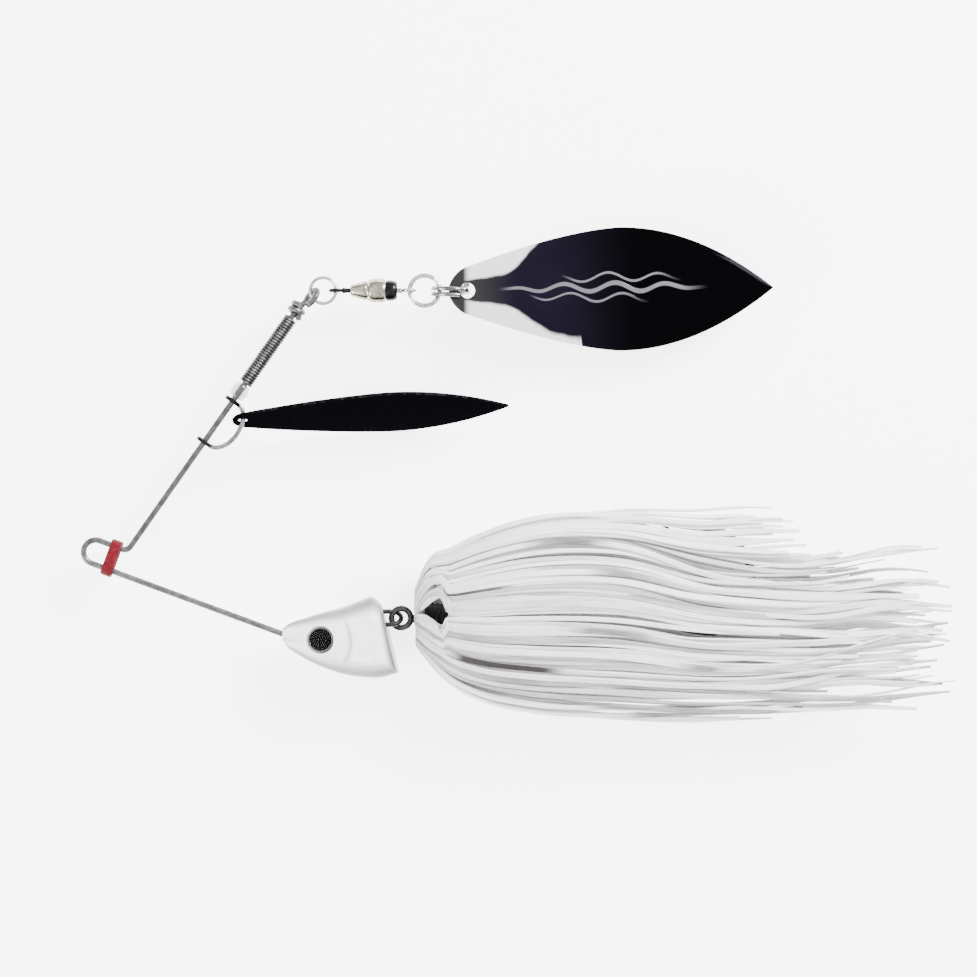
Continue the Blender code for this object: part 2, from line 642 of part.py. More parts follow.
def skirt_tabs(joint):
    """The skirt as bundles of strands: a row over the hook's plane and a flatter row under it."""
    ragged = {1: (0.93, 0.985, 1.0, 0.95), -1: (0.95, 1.0, 0.97, 0.9)}
    clear = 2.2
    collar_end = COLLAR.x + COLLAR_LENGTH / 2 + 1.6 - SKIRT_FRONT
    count = 8
    angles = np.linspace(0, 2 * pi, count, endpoint=False) + pi / 8
    for name, side in (("upper", 1), ("lower", -1)):
        for lane in range(SKIRT_LANES):
            share = (lane + 0.5) / SKIRT_LANES
            length = SKIRT_LENGTH * ragged[side][lane % 4]
            x = length * np.linspace(0, 1, 13) ** 1.25
            low, top, rise = skirt_outline(x)
            middle = low + (top - low) * share
            half = (top - low) / (2 * SKIRT_LANES) - 0.12
            crown = 1 - 0.5 * (2 * share - 1) ** 2
            inner = np.where(x < collar_end, COLLAR_RADIUS + 0.3, clear)
            roof = rise * crown if side == 1 else np.minimum(rise, LURE_PLANE - 0.25)
            outer = np.maximum(roof, inner + 0.6)
            squeeze = np.where(np.arange(13) == 12, 0.55, 1.0)
            vertices = []
            for k in range(13):
                for a in angles:
                    across = middle[k] + half[k] * squeeze[k] * cos(a) / cos(pi / 8)
                    level = (inner[k] + outer[k]) / 2
                    depth = (outer[k] - inner[k]) / 2 * squeeze[k] * sin(a) / cos(pi / 8)
                    vertices.append((SKIRT_FRONT + x[k], across, LURE_PLANE + side * (level + depth)))
            faces = [tuple(range(count)), tuple(12 * count + count - 1 - k for k in range(count))]
            for row in range(12):
                for k in range(count):
                    here = row * count + k
                    beside = row * count + (k + 1) % count
                    faces.append((here, here + count, beside + count, beside))
            obj = from_mesh("tab", vertices, [], faces)
            work = bmesh.new()
            work.from_mesh(obj.data)
            bmesh.ops.recalc_face_normals(work, faces=work.faces)
            work.to_mesh(obj.data)
            work.free()
            obj.data.shade_smooth()
            part(obj, "skirt_%s_%d" % (name, lane + 1), SILICONE, joint)


def skirt_fixings(joint):
    """The rubber core pushed on the shank and the band that ties the strands over it."""
    core_bore = HOOK_WIRE + 0.1
    core_radius = COLLAR_RADIUS - 1.3
    core = turned("core", tube_profile(core_bore, core_radius, COLLAR_LENGTH + 0.8), COLLAR, SHANK)
    part(core, "skirt_core", BLACK_RUBBER, joint)
    half = COLLAR_LENGTH / 2
    bulge = [(COLLAR_RADIUS - 0.3 * t ** 2, -half * t) for t in np.linspace(-1, 1, 5)]
    bore = core_radius + 0.1
    collar = turned("collar", bulge + [(bore, -half), (bore, half)], COLLAR, SHANK)
    part(collar, "skirt_collar", BLACK_RUBBER, joint)


for old in list(bpy.data.objects):
    bpy.data.objects.remove(old)
PARTS = fresh_collection("spinnerbait")
CUTTERS = fresh_collection("cutters")
STEEL = material("steel", (0.55, 0.56, 0.58), 1.0, 0.25)
DARK_STEEL = material("dark_steel", (0.12, 0.12, 0.13), 1.0, 0.3)
NICKEL = material("nickel", (0.62, 0.58, 0.48), 1.0, 0.2)
BLACK_NICKEL = material("black_nickel", (0.02, 0.018, 0.03), 1.0, 0.12)
BLACK_PAINT = material("black_paint", (0.006, 0.006, 0.007), 0.0, 0.25)
PEARL_PAINT = material("pearl_paint", (0.85, 0.86, 0.87), 0.0, 0.2)
RED_RUBBER = material("red_rubber", (0.42, 0.02, 0.03), 0.0, 0.45)
BLACK_RUBBER = material("black_rubber", (0.02, 0.02, 0.02), 0.0, 0.6)
SILICONE = material("silicone", (0.8, 0.8, 0.82), 0.0, 0.35)
IRIS = material("iris", (0.6, 0.62, 0.66), 0.8, 0.25)
CLEAR = material("clear", (0.9, 0.92, 0.94), 0.0, 0.05, 0.35)

main_wire()
tie_band(joint_empty("joint_band", BAND))
head()
eyes()
hook_hanger()
clevis_joint = joint_empty("joint_clevis", CLEVIS_MIDDLE)
clevis(clevis_joint)
arm_pieces(joint_empty("joint_bead", CLEVIS_MIDDLE), joint_empty("joint_sleeve", CLEVIS_MIDDLE))
blade(
    "small_blade",
    SMALL_BLADE_HOLE,
    (SMALL_BLADE_HOLE_RADIUS, SMALL_BLADE_RIM),
    (SMALL_BLADE_HEADING, SMALL_BLADE_ROLL),
    (SMALL_BLADE_LENGTH, SMALL_BLADE_WIDTH, SMALL_BLADE_CUP),
    SMALL_BLADE_WIDEST,
    BLACK_PAINT,
    joint_empty("joint_small_blade", SMALL_BLADE_HOLE),
)
ring_a_joint = joint_empty("joint_ring_a", ARM_EYE)
part(ring("ring_a", RING_A, (0, 0, 1), RING_A_RADIUS, RING_A_WIRE), "front_ring", STEEL, ring_a_joint)
swivel(joint_empty("joint_swivel_lift", FRONT_EYE), joint_empty("joint_swivel_spin", SWIVEL_FRONT))
ring_b_joint = joint_empty("joint_ring_b", REAR_EYE)
part(ring("ring_b", RING_B, (0, 0, 1), RING_B_RADIUS, RING_B_WIRE), "rear_ring", STEEL, ring_b_joint)
split_ring(joint_empty("joint_split_ring", RING_B + Vector((RING_B_RADIUS, 0, 0))))
blade(
    "big_blade",
    BIG_BLADE_HOLE,
    (BIG_BLADE_HOLE_RADIUS, BIG_BLADE_RIM),
    (BIG_BLADE_HEADING, 0.0),
    (BIG_BLADE_LENGTH, BIG_BLADE_WIDTH, BIG_BLADE_CUP),
    BIG_BLADE_WIDEST,
    BLACK_NICKEL,
    joint_empty("joint_big_blade", BIG_BLADE_HOLE),
)
hook_joint = joint_empty("joint_hook", HOOK_EYE)
hook(hook_joint)
skirt_fixings(hook_joint)
skirt_tabs(hook_joint)
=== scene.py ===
"""Looks of a tandem willow-leaf spinnerbait with a swinging hook, built round its CAD frame.

The lure lies along one plane above the floor: +X runs from the head to the skirt's tips,
+Y from the hook to the blades and +Z up.  Sizes are in millimetres and angles in degrees;
grid_mesh() turns them into Blender's metres.
"""
import json

import bpy
import numpy as np
from mathutils import Matrix, Vector


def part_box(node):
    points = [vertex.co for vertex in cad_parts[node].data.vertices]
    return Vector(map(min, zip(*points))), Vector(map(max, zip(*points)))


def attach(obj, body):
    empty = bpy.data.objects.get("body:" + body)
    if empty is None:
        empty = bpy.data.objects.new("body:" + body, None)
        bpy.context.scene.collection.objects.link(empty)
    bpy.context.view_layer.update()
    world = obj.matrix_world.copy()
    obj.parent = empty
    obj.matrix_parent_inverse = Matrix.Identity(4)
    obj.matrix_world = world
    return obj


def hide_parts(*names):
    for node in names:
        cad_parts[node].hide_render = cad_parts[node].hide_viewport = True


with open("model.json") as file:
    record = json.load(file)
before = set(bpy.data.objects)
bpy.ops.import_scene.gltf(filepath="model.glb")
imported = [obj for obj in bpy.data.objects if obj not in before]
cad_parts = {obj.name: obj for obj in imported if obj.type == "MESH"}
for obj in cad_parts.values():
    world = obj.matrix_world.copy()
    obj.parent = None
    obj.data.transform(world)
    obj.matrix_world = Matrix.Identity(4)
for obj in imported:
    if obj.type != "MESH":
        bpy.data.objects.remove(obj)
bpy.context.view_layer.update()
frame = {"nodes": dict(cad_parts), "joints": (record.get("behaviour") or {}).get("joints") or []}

MM = 0.001
JOINTS = {joint["name"]: joint for joint in frame["joints"]}
UP = np.array([0.0, 0.0, 1.0])
ALONG = np.array([1.0, 0.0, 0.0])
ACROSS = np.array([0.0, 1.0, 0.0])


def pin(joint):
    """Where a joint turns."""
    return np.array(JOINTS[joint]["pos_m"]) / MM


def line(joint):
    """The unit vector a joint turns about or slides along."""
    return unit(np.array(JOINTS[joint]["axis"], float))


def box(node):
    """A CAD node's lowest and highest corners."""
    low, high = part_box(node)
    return np.array(low) / MM, np.array(high) / MM


def unit(vectors):
    """Vectors scaled to length one."""
    vectors = np.asarray(vectors, float)
    return vectors / np.linalg.norm(vectors, axis=-1, keepdims=True)


def heading(angle):
    """The unit vector in the lure's plane at an angle from +X."""
    return np.array([np.cos(np.radians(angle)), np.sin(np.radians(angle)), 0.0])


# Sizes and places, from the frame wherever it holds them
WIRE = 0.5
ARM_UP = line("clevis_spin")
ARM_OUT = np.cross(ARM_UP, UP)
ARM_BACK = line("band_slide")
ARM_SIDE = np.cross(UP, -ARM_BACK)
CLEVIS = pin("clevis_spin")
CLEVIS_FROM_BEND = 26.35
UPPER_START = CLEVIS - ARM_UP * CLEVIS_FROM_BEND
TIE_SPACING = 4.0
TIE_LEG = 5.0
LOWER_ARM = 34.0
LOWER_END = UPPER_START + ARM_BACK * TIE_LEG - ARM_SIDE * TIE_SPACING
NOSE = LOWER_END - ARM_BACK * LOWER_ARM
PLANE = NOSE[2]
ARM_EYE = pin("front_ring_swing")
ARM_EYE_RADIUS = 1.5
SWIVEL_EYE_RADIUS = 0.95
SWIVEL_EYE_WIRE = 0.3
ARM_EYE_TILT = 65.0
ARM_EYE_OFFSET = 0.8
HOOK_EYE = pin("hook_swing")
HOOK_LENGTH = 58.7
HOOK_GAP = 17.8
HOOK_WIRE = 0.7
HOOK_EYE_RADIUS = 1.6
HOOK_EYE_WIRE = 0.5
HOOK_POINT = 10.5
HANGER_LEAN = 40.0
HANGER_HALF = 1.6
HANGER_DEPTH = 4.0
HANGER_WIRE = 0.4
SHANK_ANGLE = -3.0
SHANK = heading(SHANK_ANGLE)
SHANK_SIDE = heading(SHANK_ANGLE + 90)
COLLAR_PLACE = 5.9
COLLAR = HOOK_EYE + SHANK * COLLAR_PLACE
COLLAR_HALF = 1.95
SKIRT_FRONT = HOOK_EYE[0] + 2.3
SKIRT_LENGTH = 89.2
EYE_RADIUS = 2.2
EYE_SEAT = 3.7
rng = np.random.default_rng(41)


# Meshes
def grid_mesh(name, grid, closed_rows=False, closed_columns=True, caps=False, fields=None):
    """A surface through a grid of points, with a UV map of the grid's own shares.

    Each face joins point (i, k) to (i+1, k), (i+1, k+1) and (i, k+1), and a closed
    direction joins its last row or column back to its first.  caps closes the two ends of
    a tube.  fields are named numbers held at the points.  A grid may hold several tubes,
    as a four-dimensional array.
    """
    tubes = grid[None] if grid.ndim == 3 else grid
    count, rows, columns = tubes.shape[:3]
    index = np.arange(count * rows * columns).reshape(count, rows, columns)
    corners = [index, np.roll(index, -1, 1), np.roll(index, (-1, -1), (1, 2)), np.roll(index, -1, 2)]
    last_row = rows if closed_rows else rows - 1
    last_column = columns if closed_columns else columns - 1
    quads = np.stack([c[:, :last_row, :last_column] for c in corners], -1).reshape(-1, 4)
    u = np.broadcast_to(np.arange(last_row)[:, None] / last_row, (last_row, last_column))
    v = np.broadcast_to(np.arange(last_column)[None, :] / last_column, (last_row, last_column))
    step_u, step_v = 1 / last_row, 1 / last_column
    uv = np.stack([
        np.stack([u, v], -1),
        np.stack([u + step_u, v], -1),
        np.stack([u + step_u, v + step_v], -1),
        np.stack([u, v + step_v], -1),
    ], 2)
    uv = np.broadcast_to(uv[None], (count, *uv.shape)).reshape(-1, 2)
    faces = quads.tolist()
    if caps:
        faces += index[:, 0, :].tolist() + index[:, -1, ::-1].tolist()
        uv = np.concatenate([uv, np.zeros((2 * count * columns, 2))])
    mesh = bpy.data.meshes.new(name)
    mesh.from_pydata((tubes.reshape(-1, 3) * MM).tolist(), [], faces)
    layer = mesh.uv_layers.new(name="grid")
    layer.uv.foreach_set("vector", uv.astype(np.float32).ravel())
    for field, values in (fields or {}).items():
        attribute = mesh.attributes.new(field, "FLOAT", "POINT")
        attribute.data.foreach_set("value", np.ascontiguousarray(values, np.float32).ravel())
    mesh.shade_smooth()
    mesh.set_sharp_from_angle(angle=np.radians(42))
    made = bpy.data.objects.new(name, mesh)
    bpy.context.scene.collection.objects.link(made)
    return made


def fit(piece, body, look, slot, *nodes):
    """Paints a piece and makes it ride on its body in place of the CAD nodes."""
    piece.data.materials.clear()
    piece.data.materials.append(look)
    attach(piece, body)
    if nodes:
        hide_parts(*nodes)
    return piece


def joined(name, *pieces):
    """Several meshes made one object."""
    with bpy.context.temp_override(
        active_object=pieces[0], selected_editable_objects=list(pieces)
    ):
        bpy.ops.object.join()
    pieces[0].name = name
    pieces[0].data.name = name
    return pieces[0]


def round_section(sides=14):
    """A circle of radius one."""
    angles = np.linspace(0, 2 * np.pi, sides, endpoint=False)
    return np.stack([np.cos(angles), np.sin(angles)], -1)


def flat_section(width, thickness, sides=16, squareness=0.35):
    """A rounded rectangle: cosine and sine each raised to a low power."""
    points = round_section(sides)
    return np.sign(points) * np.abs(points) ** squareness * [width / 2, thickness / 2]


def sweep(path, section, up=UP, size=1.0, closed=False):
    """Section outlines carried along a path.

    Each outline stands square to the path: its first axis is the path's direction
    crossed with up, its second the part of up that is square to the path.
    """
    along = np.roll(path, -1, -2) - np.roll(path, 1, -2)
    if not closed:
        along[..., 0, :] = path[..., 1, :] - path[..., 0, :]
        along[..., -1, :] = path[..., -1, :] - path[..., -2, :]
    along = unit(along)
    across = unit(np.cross(along, up))
    lift = np.cross(across, along)
    size = np.broadcast_to(size, path.shape[:-1])[..., None, None]
    spread = section[:, :1] * across[..., None, :] + section[:, 1:] * lift[..., None, :]
    return path[..., None, :] + size * spread


def arc(centre, first, second, radius, start, end, count):
    """Points on a circle in the plane of two unit vectors, by angle."""
    angles = np.radians(np.linspace(start, end, count))[:, None]
    return centre + radius * (first * np.cos(angles) + second * np.sin(angles))


def straight(start, end, count):
    """Points spaced evenly from start up to, but without, end."""
    return start + (end - start) * (np.arange(count) / count)[:, None]


def hoop(name, centre, axis, radius, wire, around=72):
    """A torus: a circle of wire carried round a circle square to axis."""
    side = unit(np.cross(axis, [0.3, 0.5, 0.8]))
    path = arc(centre, side, np.cross(axis, side), radius, 0, 360, around + 1)[:-1]
    return grid_mesh(name, sweep(path, round_section() * wire, axis, closed=True), closed_rows=True)


def softened(profile, radius):
    """A profile whose corners are cut back by up to radius and eased through their middle."""
    profile = np.asarray(profile, float)
    back = np.vstack([profile[:1], profile[:-1]]) - profile
    ahead = np.vstack([profile[1:], profile[-1:]]) - profile
    reach = [np.linalg.norm(side, axis=1, keepdims=True) + 1e-9 for side in (back, ahead)]
    before = profile + back * np.minimum(radius / reach[0], 0.45)
    after = profile + ahead * np.minimum(radius / reach[1], 0.45)
    middle = (before + after) / 4 + profile / 2
    return np.stack([before, middle, after], 1).reshape(-1, 2)[1:-1]


def lathe(name, profile, base, axis, sides=64, bore=True):
    """A profile of (radius, height) pairs turned round an axis; bore closes it on itself."""
    profile = np.asarray(profile, float)
    side = unit(np.cross(axis, [0.2, 0.7, 0.4]))
    angles = np.linspace(0, 2 * np.pi, sides, endpoint=False)[None, :, None]
    spoke = side * np.cos(angles) + np.cross(axis, side) * np.sin(angles)
    grid = base + axis * profile[:, None, 1:] + spoke * profile[:, None, :1]
    return grid_mesh(name, grid, closed_rows=bore, caps=not bore)


def curve_through(knots, values, fine):
    """Piecewise cubics through values, whose slopes are the means of their neighbours'."""
    values = np.asarray(values, float)
    slopes = np.gradient(values, knots, axis=0)
    index = np.clip(np.searchsorted(knots, fine, side="right") - 1, 0, len(knots) - 2)
    span = knots[index + 1] - knots[index]
    t = (fine - knots[index]) / span
    blend = 3 * t ** 2 - 2 * t ** 3
    leave = slopes[index] * span * (t ** 3 - 2 * t ** 2 + t)
    arrive = slopes[index + 1] * span * (t ** 3 - t ** 2)
    return values[index] * (1 - blend) + values[index + 1] * blend + leave + arrive


# Shaders
class Value:
    """A number that a shader works out; Python's operators on it add Math nodes."""

    def __init__(self, finish, socket):
        self.finish = finish
        self.socket = socket

    def math(self, operation, first, second=0.0):
        return self.finish.node("Math", {"operation": operation}, {0: first, 1: second})

    def __add__(self, other):
        return self.math("ADD", self, other)

    __radd__ = __add__

    def __mul__(self, other):
        return self.math("MULTIPLY", self, other)

    __rmul__ = __mul__

    def __sub__(self, other):
        return self.math("SUBTRACT", self, other)

    def __rsub__(self, other):
        return self.math("SUBTRACT", other, self)

    def __abs__(self):
        return self.math("ABSOLUTE", self)

    def sine(self):
        return self.math("SINE", self)

    def most(self, other):
        return self.math("MAXIMUM", self, other)

    def step(self, start, end):
        """Eases from 0 at start to 1 at end; start may be the larger."""
        low, high = min(start, end), max(start, end)
        reach = {"Value": self, "From Min": low, "From Max": high}
        eased = self.finish.node("MapRange", {"interpolation_type": "SMOOTHSTEP"}, reach)
        return eased if start < end else 1 - eased


class Finish:
    """A material being built round its Principled shader."""

    def __init__(self, name, **fixed):
        self.material = bpy.data.materials.new(name)
        self.material.use_nodes = True
        self.tree = self.material.node_tree
        self.shader = self.tree.nodes["Principled BSDF"]
        for socket, value in fixed.items():
            self.shader.inputs[socket.replace("_", " ")].default_value = value

    def node(self, kind, settings, inputs, output=0):
        """Any node: its type, its settings, and the values or links of its sockets."""
        made = self.tree.nodes.new("ShaderNode" + kind)
        for setting, value in settings.items():
            setattr(made, setting, value)
        for socket, value in inputs.items():
            if isinstance(value, Value):
                self.tree.links.new(value.socket, made.inputs[socket])
            else:
                made.inputs[socket].default_value = value
        return Value(self, made.outputs[output])

    def field(self, name):
        return self.node("Attribute", {"attribute_name": name}, {}, output=2)

    def place(self, stretch=(1, 1, 1)):
        """The object's own coordinates in millimetres, stretched on each axis."""
        here = self.node("TexCoord", {}, {}, output=3)
        scale = [share / MM for share in stretch]
        return self.node("VectorMath", {"operation": "MULTIPLY"}, {0: here, 1: scale})

    def grid(self, along, around):
        """The piece's grid map with its two shares scaled."""
        here = self.node("UVMap", {"uv_map": "grid"}, {})
        return self.node("VectorMath", {"operation": "MULTIPLY"}, {0: here, 1: (along, around, 1)})

    def noise(self, where, scale, detail=3.0, roughness=0.55):
        sockets = {"Vector": where, "Scale": scale, "Detail": detail, "Roughness": roughness}
        return self.node("TexNoise", {}, sockets)

    def mix(self, mask, first, second):
        """first where mask is 0, second where it is 1; either may be a colour tuple."""
        colours = [c if isinstance(c, Value) else (*c, 1.0) for c in (first, second)]
        sockets = {0: mask, 6: colours[0], 7: colours[1]}
        return self.node("Mix", {"data_type": "RGBA"}, sockets, output=2)

    def feed(self, socket, value):
        self.tree.links.new(value.socket, self.shader.inputs[socket])
        return self

    def relief(self, height, depth):
        """height, in millimetres times depth, as a bump on the surface."""
        bump = self.node("Bump", {}, {"Strength": 1.0, "Distance": depth * MM, "Height": height})
        return self.feed("Normal", bump)


def drawn_wire(name, bright, dull, roughness):
    """Drawn wire: long fine scratches along it and cloudy patches of tarnish."""
    look = Finish(name, Metallic=1.0)
    scratch = look.noise(look.grid(3.0, 40.0), 4.0, detail=2.0)
    patch = look.noise(look.place(), 0.9, detail=4.0)
    tarnish = patch.step(0.38, 0.66)
    look.feed("Base Color", look.mix(tarnish * 0.7 + scratch * 0.3, bright, dull))
    look.feed("Roughness", roughness + scratch * 0.14 + tarnish * 0.06)
    return look.relief(scratch, 0.012).material


def plated(name, bright, dull, roughness, mottle=1.6):
    """Polished plating: a few cloudy patches, fine wipe marks and soft pits."""
    look = Finish(name, Metallic=1.0)
    cloud = look.noise(look.place(), mottle, detail=5.0)
    wipe = look.noise(look.place((0.6, 4.0, 4.0)), 5.0, detail=2.0)
    look.feed("Base Color", look.mix(cloud.step(0.35, 0.7), bright, dull))
    look.feed("Roughness", roughness + cloud.step(0.4, 0.75) * 0.1 + wipe * 0.06)
    return look.relief(cloud, 0.02).material


def black_nickel():
    """Mirror-black plating with ripples engraved, and painted reflections: near-white rims and a violet,
    lighter front.

    side runs from -1 at one rim to 1 at the other.  The dark colour reaches out to a
    share of the half width that grows along the leaf, and stays short for longer on the
    rim at -1; beyond it the rim is painted near white as a reflection.  Each ripple is a band round a
    sine of the distance along the leaf.
    """
    look = Finish("black_nickel_mirror", Metallic=1.0)
    run, side, face = (look.field(name) for name in ("run", "side", "face"))
    cloud = look.noise(look.place(), 0.35, detail=3.0)
    reflection_cloud = look.noise(look.place((0.5, 1.0, 1.0)), 0.16, detail=2.0)
    # Painted reflection: the front of the leaf is tinted violet in cloudy patches and lightened at its
    # very front.
    front_reflection_mask = run.step(0.60, 0.25) * (0.6 + reflection_cloud * 0.8)
    body = look.mix(front_reflection_mask, (0.0016, 0.0016, 0.002), (0.0095, 0.0078, 0.0165))
    body = look.mix(run.step(0.22, 0.06), body, (0.030, 0.031, 0.031))
    rim = abs(side) + (cloud - 0.5) * 0.12
    above = side.step(-0.02, 0.02)
    reach_above = run.step(0.16, 0.31) * 0.68 + 0.36
    reach_below = run.step(0.16, 0.33) * 0.46 + run.step(0.405, 0.42) * 0.6 + 0.36
    reach = reach_below + (reach_above - reach_below) * above
    # Painted reflection: past the dark colour's reach the rims are painted near white.
    rim_reflection_mask = (rim - reach).step(0.0, 0.12) * run.step(0.045, 0.07)
    body = look.mix(rim_reflection_mask, body, (0.93, 0.93, 0.95))
    swell = run.step(0.15, 0.30) * run.step(0.84, 0.60)
    ripples = []
    for offset, start, end, half in (
        (0.0, 0.15, 0.80, 0.030),
        (0.17, 0.34, 0.72, 0.016),
        (-0.17, 0.24, 0.62, 0.016),
    ):
        wave = (run * 40.0 + offset * 5.0).sine() * (swell * 0.07)
        line_mask = abs(side - wave - offset - 0.02).step(half * 1.5, half)
        ripples.append(line_mask * run.step(start, start + 0.06) * run.step(end, end - 0.10))
    engraved = ripples[0].most(ripples[1]).most(ripples[2]) * face
    chatter = look.noise(look.place(), 9.0, detail=1.0)
    look.feed("Base Color", look.mix(engraved * (0.4 + chatter * 0.6), body, (0.20, 0.20, 0.22)))
    speck = look.noise(look.place(), 3.2, detail=5.0)
    look.feed("Roughness", 0.09 + speck.step(0.5, 0.8) * 0.08 + engraved * 0.32 + rim_reflection_mask * 0.12)
    return look.relief(cloud * 0.6 - engraved * 0.9, 0.04).material


def black_gloss():
    """Gloss black enamel: orange peel, a few dust specks and a thin worn line at the rim."""
    look = Finish("black_gloss_enamel", Specular_IOR_Level=0.0)
    peel = look.noise(look.place(), 1.4, detail=2.0)
    dust = look.noise(look.place(), 14.0, detail=1.0)
    side = look.field("side")
    worn = abs(side).step(0.965, 1.0) * look.noise(look.place(), 0.9).step(0.45, 0.62)
    colour = look.mix(dust.step(0.72, 0.82), (0.0015, 0.0015, 0.002), (0.012, 0.012, 0.013))
    look.feed("Base Color", look.mix(worn * 0.2, colour, (0.05, 0.05, 0.055)))
    look.feed("Roughness", 0.34 + peel * 0.12 + worn * 0.2)
    return look.relief(peel, 0.03).material


def pearl_paint():
    """White pearl over lead with fine mica, and painted shade: near black along the back, the belly and
    the rear rim, and darker in the gill and mouth grooves.
    """
    look = Finish("pearl_paint", Coat_Weight=0.25, Coat_Roughness=0.06, Specular_IOR_Level=0.2)
    back, tail, gill = (look.field(name) for name in ("back", "tail", "gill"))
    cloud = look.noise(look.place(), 0.5, detail=3.0)
    mica = look.node("TexVoronoi", {}, {"Vector": look.place(), "Scale": 7.0}, output=0)
    pearl = look.mix(cloud.step(0.35, 0.65), (0.88, 0.885, 0.885), (0.80, 0.81, 0.80))
    pearl = look.mix(mica.step(0.16, 0.05) * 0.5, pearl, (0.93, 0.92, 0.95))
    # Painted shade: the head darkens to near black towards its back, belly and rear rim, and in its
    # grooves.
    edge = back.step(0.50, 0.93) * 0.96
    edge = edge.most(tail.step(0.90, 0.99) * 0.9).most(gill * 0.55)
    look.feed("Base Color", look.mix(edge, pearl, (0.035, 0.035, 0.037)))
    look.feed("Metallic", mica.step(0.2, 0.08) * 0.35)
    look.feed("Roughness", 0.26 + cloud * 0.14)
    return look.relief(cloud + mica * 0.3, 0.03).material


def rubber(name, colour, pale, roughness, shine=0.3):
    """Moulded rubber or lacquer: fine grain, pale bloom on raised patches."""
    look = Finish(name, Sheen_Weight=0.04, Sheen_Roughness=0.5, Specular_IOR_Level=shine)
    grain = look.noise(look.place(), 11.0, detail=3.0)
    bloom = look.noise(look.place(), 1.3, detail=4.0)
    look.feed("Base Color", look.mix(bloom.step(0.45, 0.75) * 0.6, colour, pale))
    look.feed("Roughness", roughness + grain * 0.16)
    return look.relief(grain + bloom, 0.03).material


def silicone():
    """Cut silicone strands: each has its own shade, with mica flecks and fine lines along it; where the
    shade field darkens stretches and roots, it is painted shade.
    """
    look = Finish("silicone_strands", Subsurface_Weight=0.08, Specular_IOR_Level=0.15)
    look.shader.inputs["Subsurface Radius"].default_value = (0.6 * MM, 0.6 * MM, 0.7 * MM)
    look.shader.inputs["Subsurface Scale"].default_value = 1.0
    shade, warm = look.field("shade"), look.field("warm")
    lines = look.noise(look.grid(7.0, 9.0), 3.0, detail=3.0)
    fleck = look.node("TexVoronoi", {}, {"Vector": look.place(), "Scale": 2.4}, output=0)
    milk = look.mix(warm, (0.80, 0.81, 0.815), (0.80, 0.745, 0.76))
    # The dark end of the tone: real smoky strands, and painted shade where streaks and roots lower the
    # shade field.
    smoke_and_painted_shade = look.mix(warm, (0.020, 0.021, 0.022), (0.028, 0.022, 0.025))
    tone = (shade + (lines - 0.5) * 0.8).step(-0.12, 1.08)
    colour = look.mix(tone, smoke_and_painted_shade, milk)
    look.feed("Base Color", look.mix(fleck.step(0.10, 0.04) * 0.35, colour, (0.50, 0.50, 0.53)))
    look.feed("Roughness", 0.34 + lines * 0.2)
    return look.relief(lines, 0.06).material


def iris_foil():
    """Silver foil with rays from the pupil and a dark ring at the rim."""
    look = Finish("iris_foil")
    ring, turn = look.field("ring"), look.field("turn")
    rays = (turn * 46.0 + look.noise(look.place(), 2.0) * 3.0).sine() * 0.5 + 0.5
    silver = look.mix(rays * 0.6, (0.20, 0.205, 0.215), (0.09, 0.092, 0.10))
    look.feed("Base Color", look.mix(ring.step(0.86, 1.0), silver, (0.12, 0.12, 0.13)))
    look.feed("Metallic", 0.7 - ring.step(0.86, 1.0) * 0.5)
    look.feed("Roughness", 0.24 + rays * 0.16)
    return look.relief(rays, 0.03).material


def clear_resin(name, tint, alpha, coat):
    """Clear resin: a mostly see-through gloss with faint swirls."""
    look = Finish(name, IOR=1.5, Coat_Weight=coat, Coat_Roughness=0.02)
    swirl = look.noise(look.place(), 0.8, detail=2.0)
    look.feed("Base Color", look.mix(swirl * 0.4, tint, (0.06, 0.06, 0.062)))
    look.feed("Alpha", alpha + swirl * 0.03)
    look.feed("Roughness", 0.03 + swirl * 0.05)
    return look.material


WIRE_STEEL = drawn_wire("drawn_spring_wire", (0.13, 0.13, 0.132), (0.055, 0.053, 0.052), 0.26)
TIE_STEEL = drawn_wire("hook_wire", (0.06, 0.06, 0.062), (0.022, 0.022, 0.024), 0.2)
COIL_STEEL = drawn_wire("coil_wire", (0.07, 0.07, 0.072), (0.02, 0.02, 0.022), 0.25)
RING_NICKEL = plated("ring_nickel", (0.48, 0.48, 0.47), (0.26, 0.26, 0.25), 0.12)
CLEVIS_STEEL = plated("clevis_steel", (0.26, 0.26, 0.26), (0.09, 0.09, 0.09), 0.16, 0.5)
BARREL_BRASS = plated("barrel_nickel_brass", (0.38, 0.36, 0.29), (0.18, 0.165, 0.125), 0.14)
# Near-black plating as painted shade: it darkens the clevis eyelets and the swivel's cap and front eye.
SHADE_DARKENED_PLATE = plated("shade_darkened_plate", (0.020, 0.020, 0.021), (0.008, 0.008, 0.009), 0.16)
BLACK_NICKEL = black_nickel()
BLACK_GLOSS = black_gloss()
PEARL = pearl_paint()
RED_RUBBER = rubber("maroon_band", (0.080, 0.0008, 0.004), (0.20, 0.008, 0.022), 0.42, 0.12)
BLACK_RUBBER = rubber("black_band", (0.003, 0.003, 0.0035), (0.010, 0.010, 0.011), 0.5)
SILICONE = silicone()
IRIS = iris_foil()
LENS = clear_resin("lens_resin", (0.004, 0.004, 0.005), 0.05, 0.4)
BEAD = clear_resin("bead_resin", (0.05, 0.052, 0.055), 0.34, 1.0)


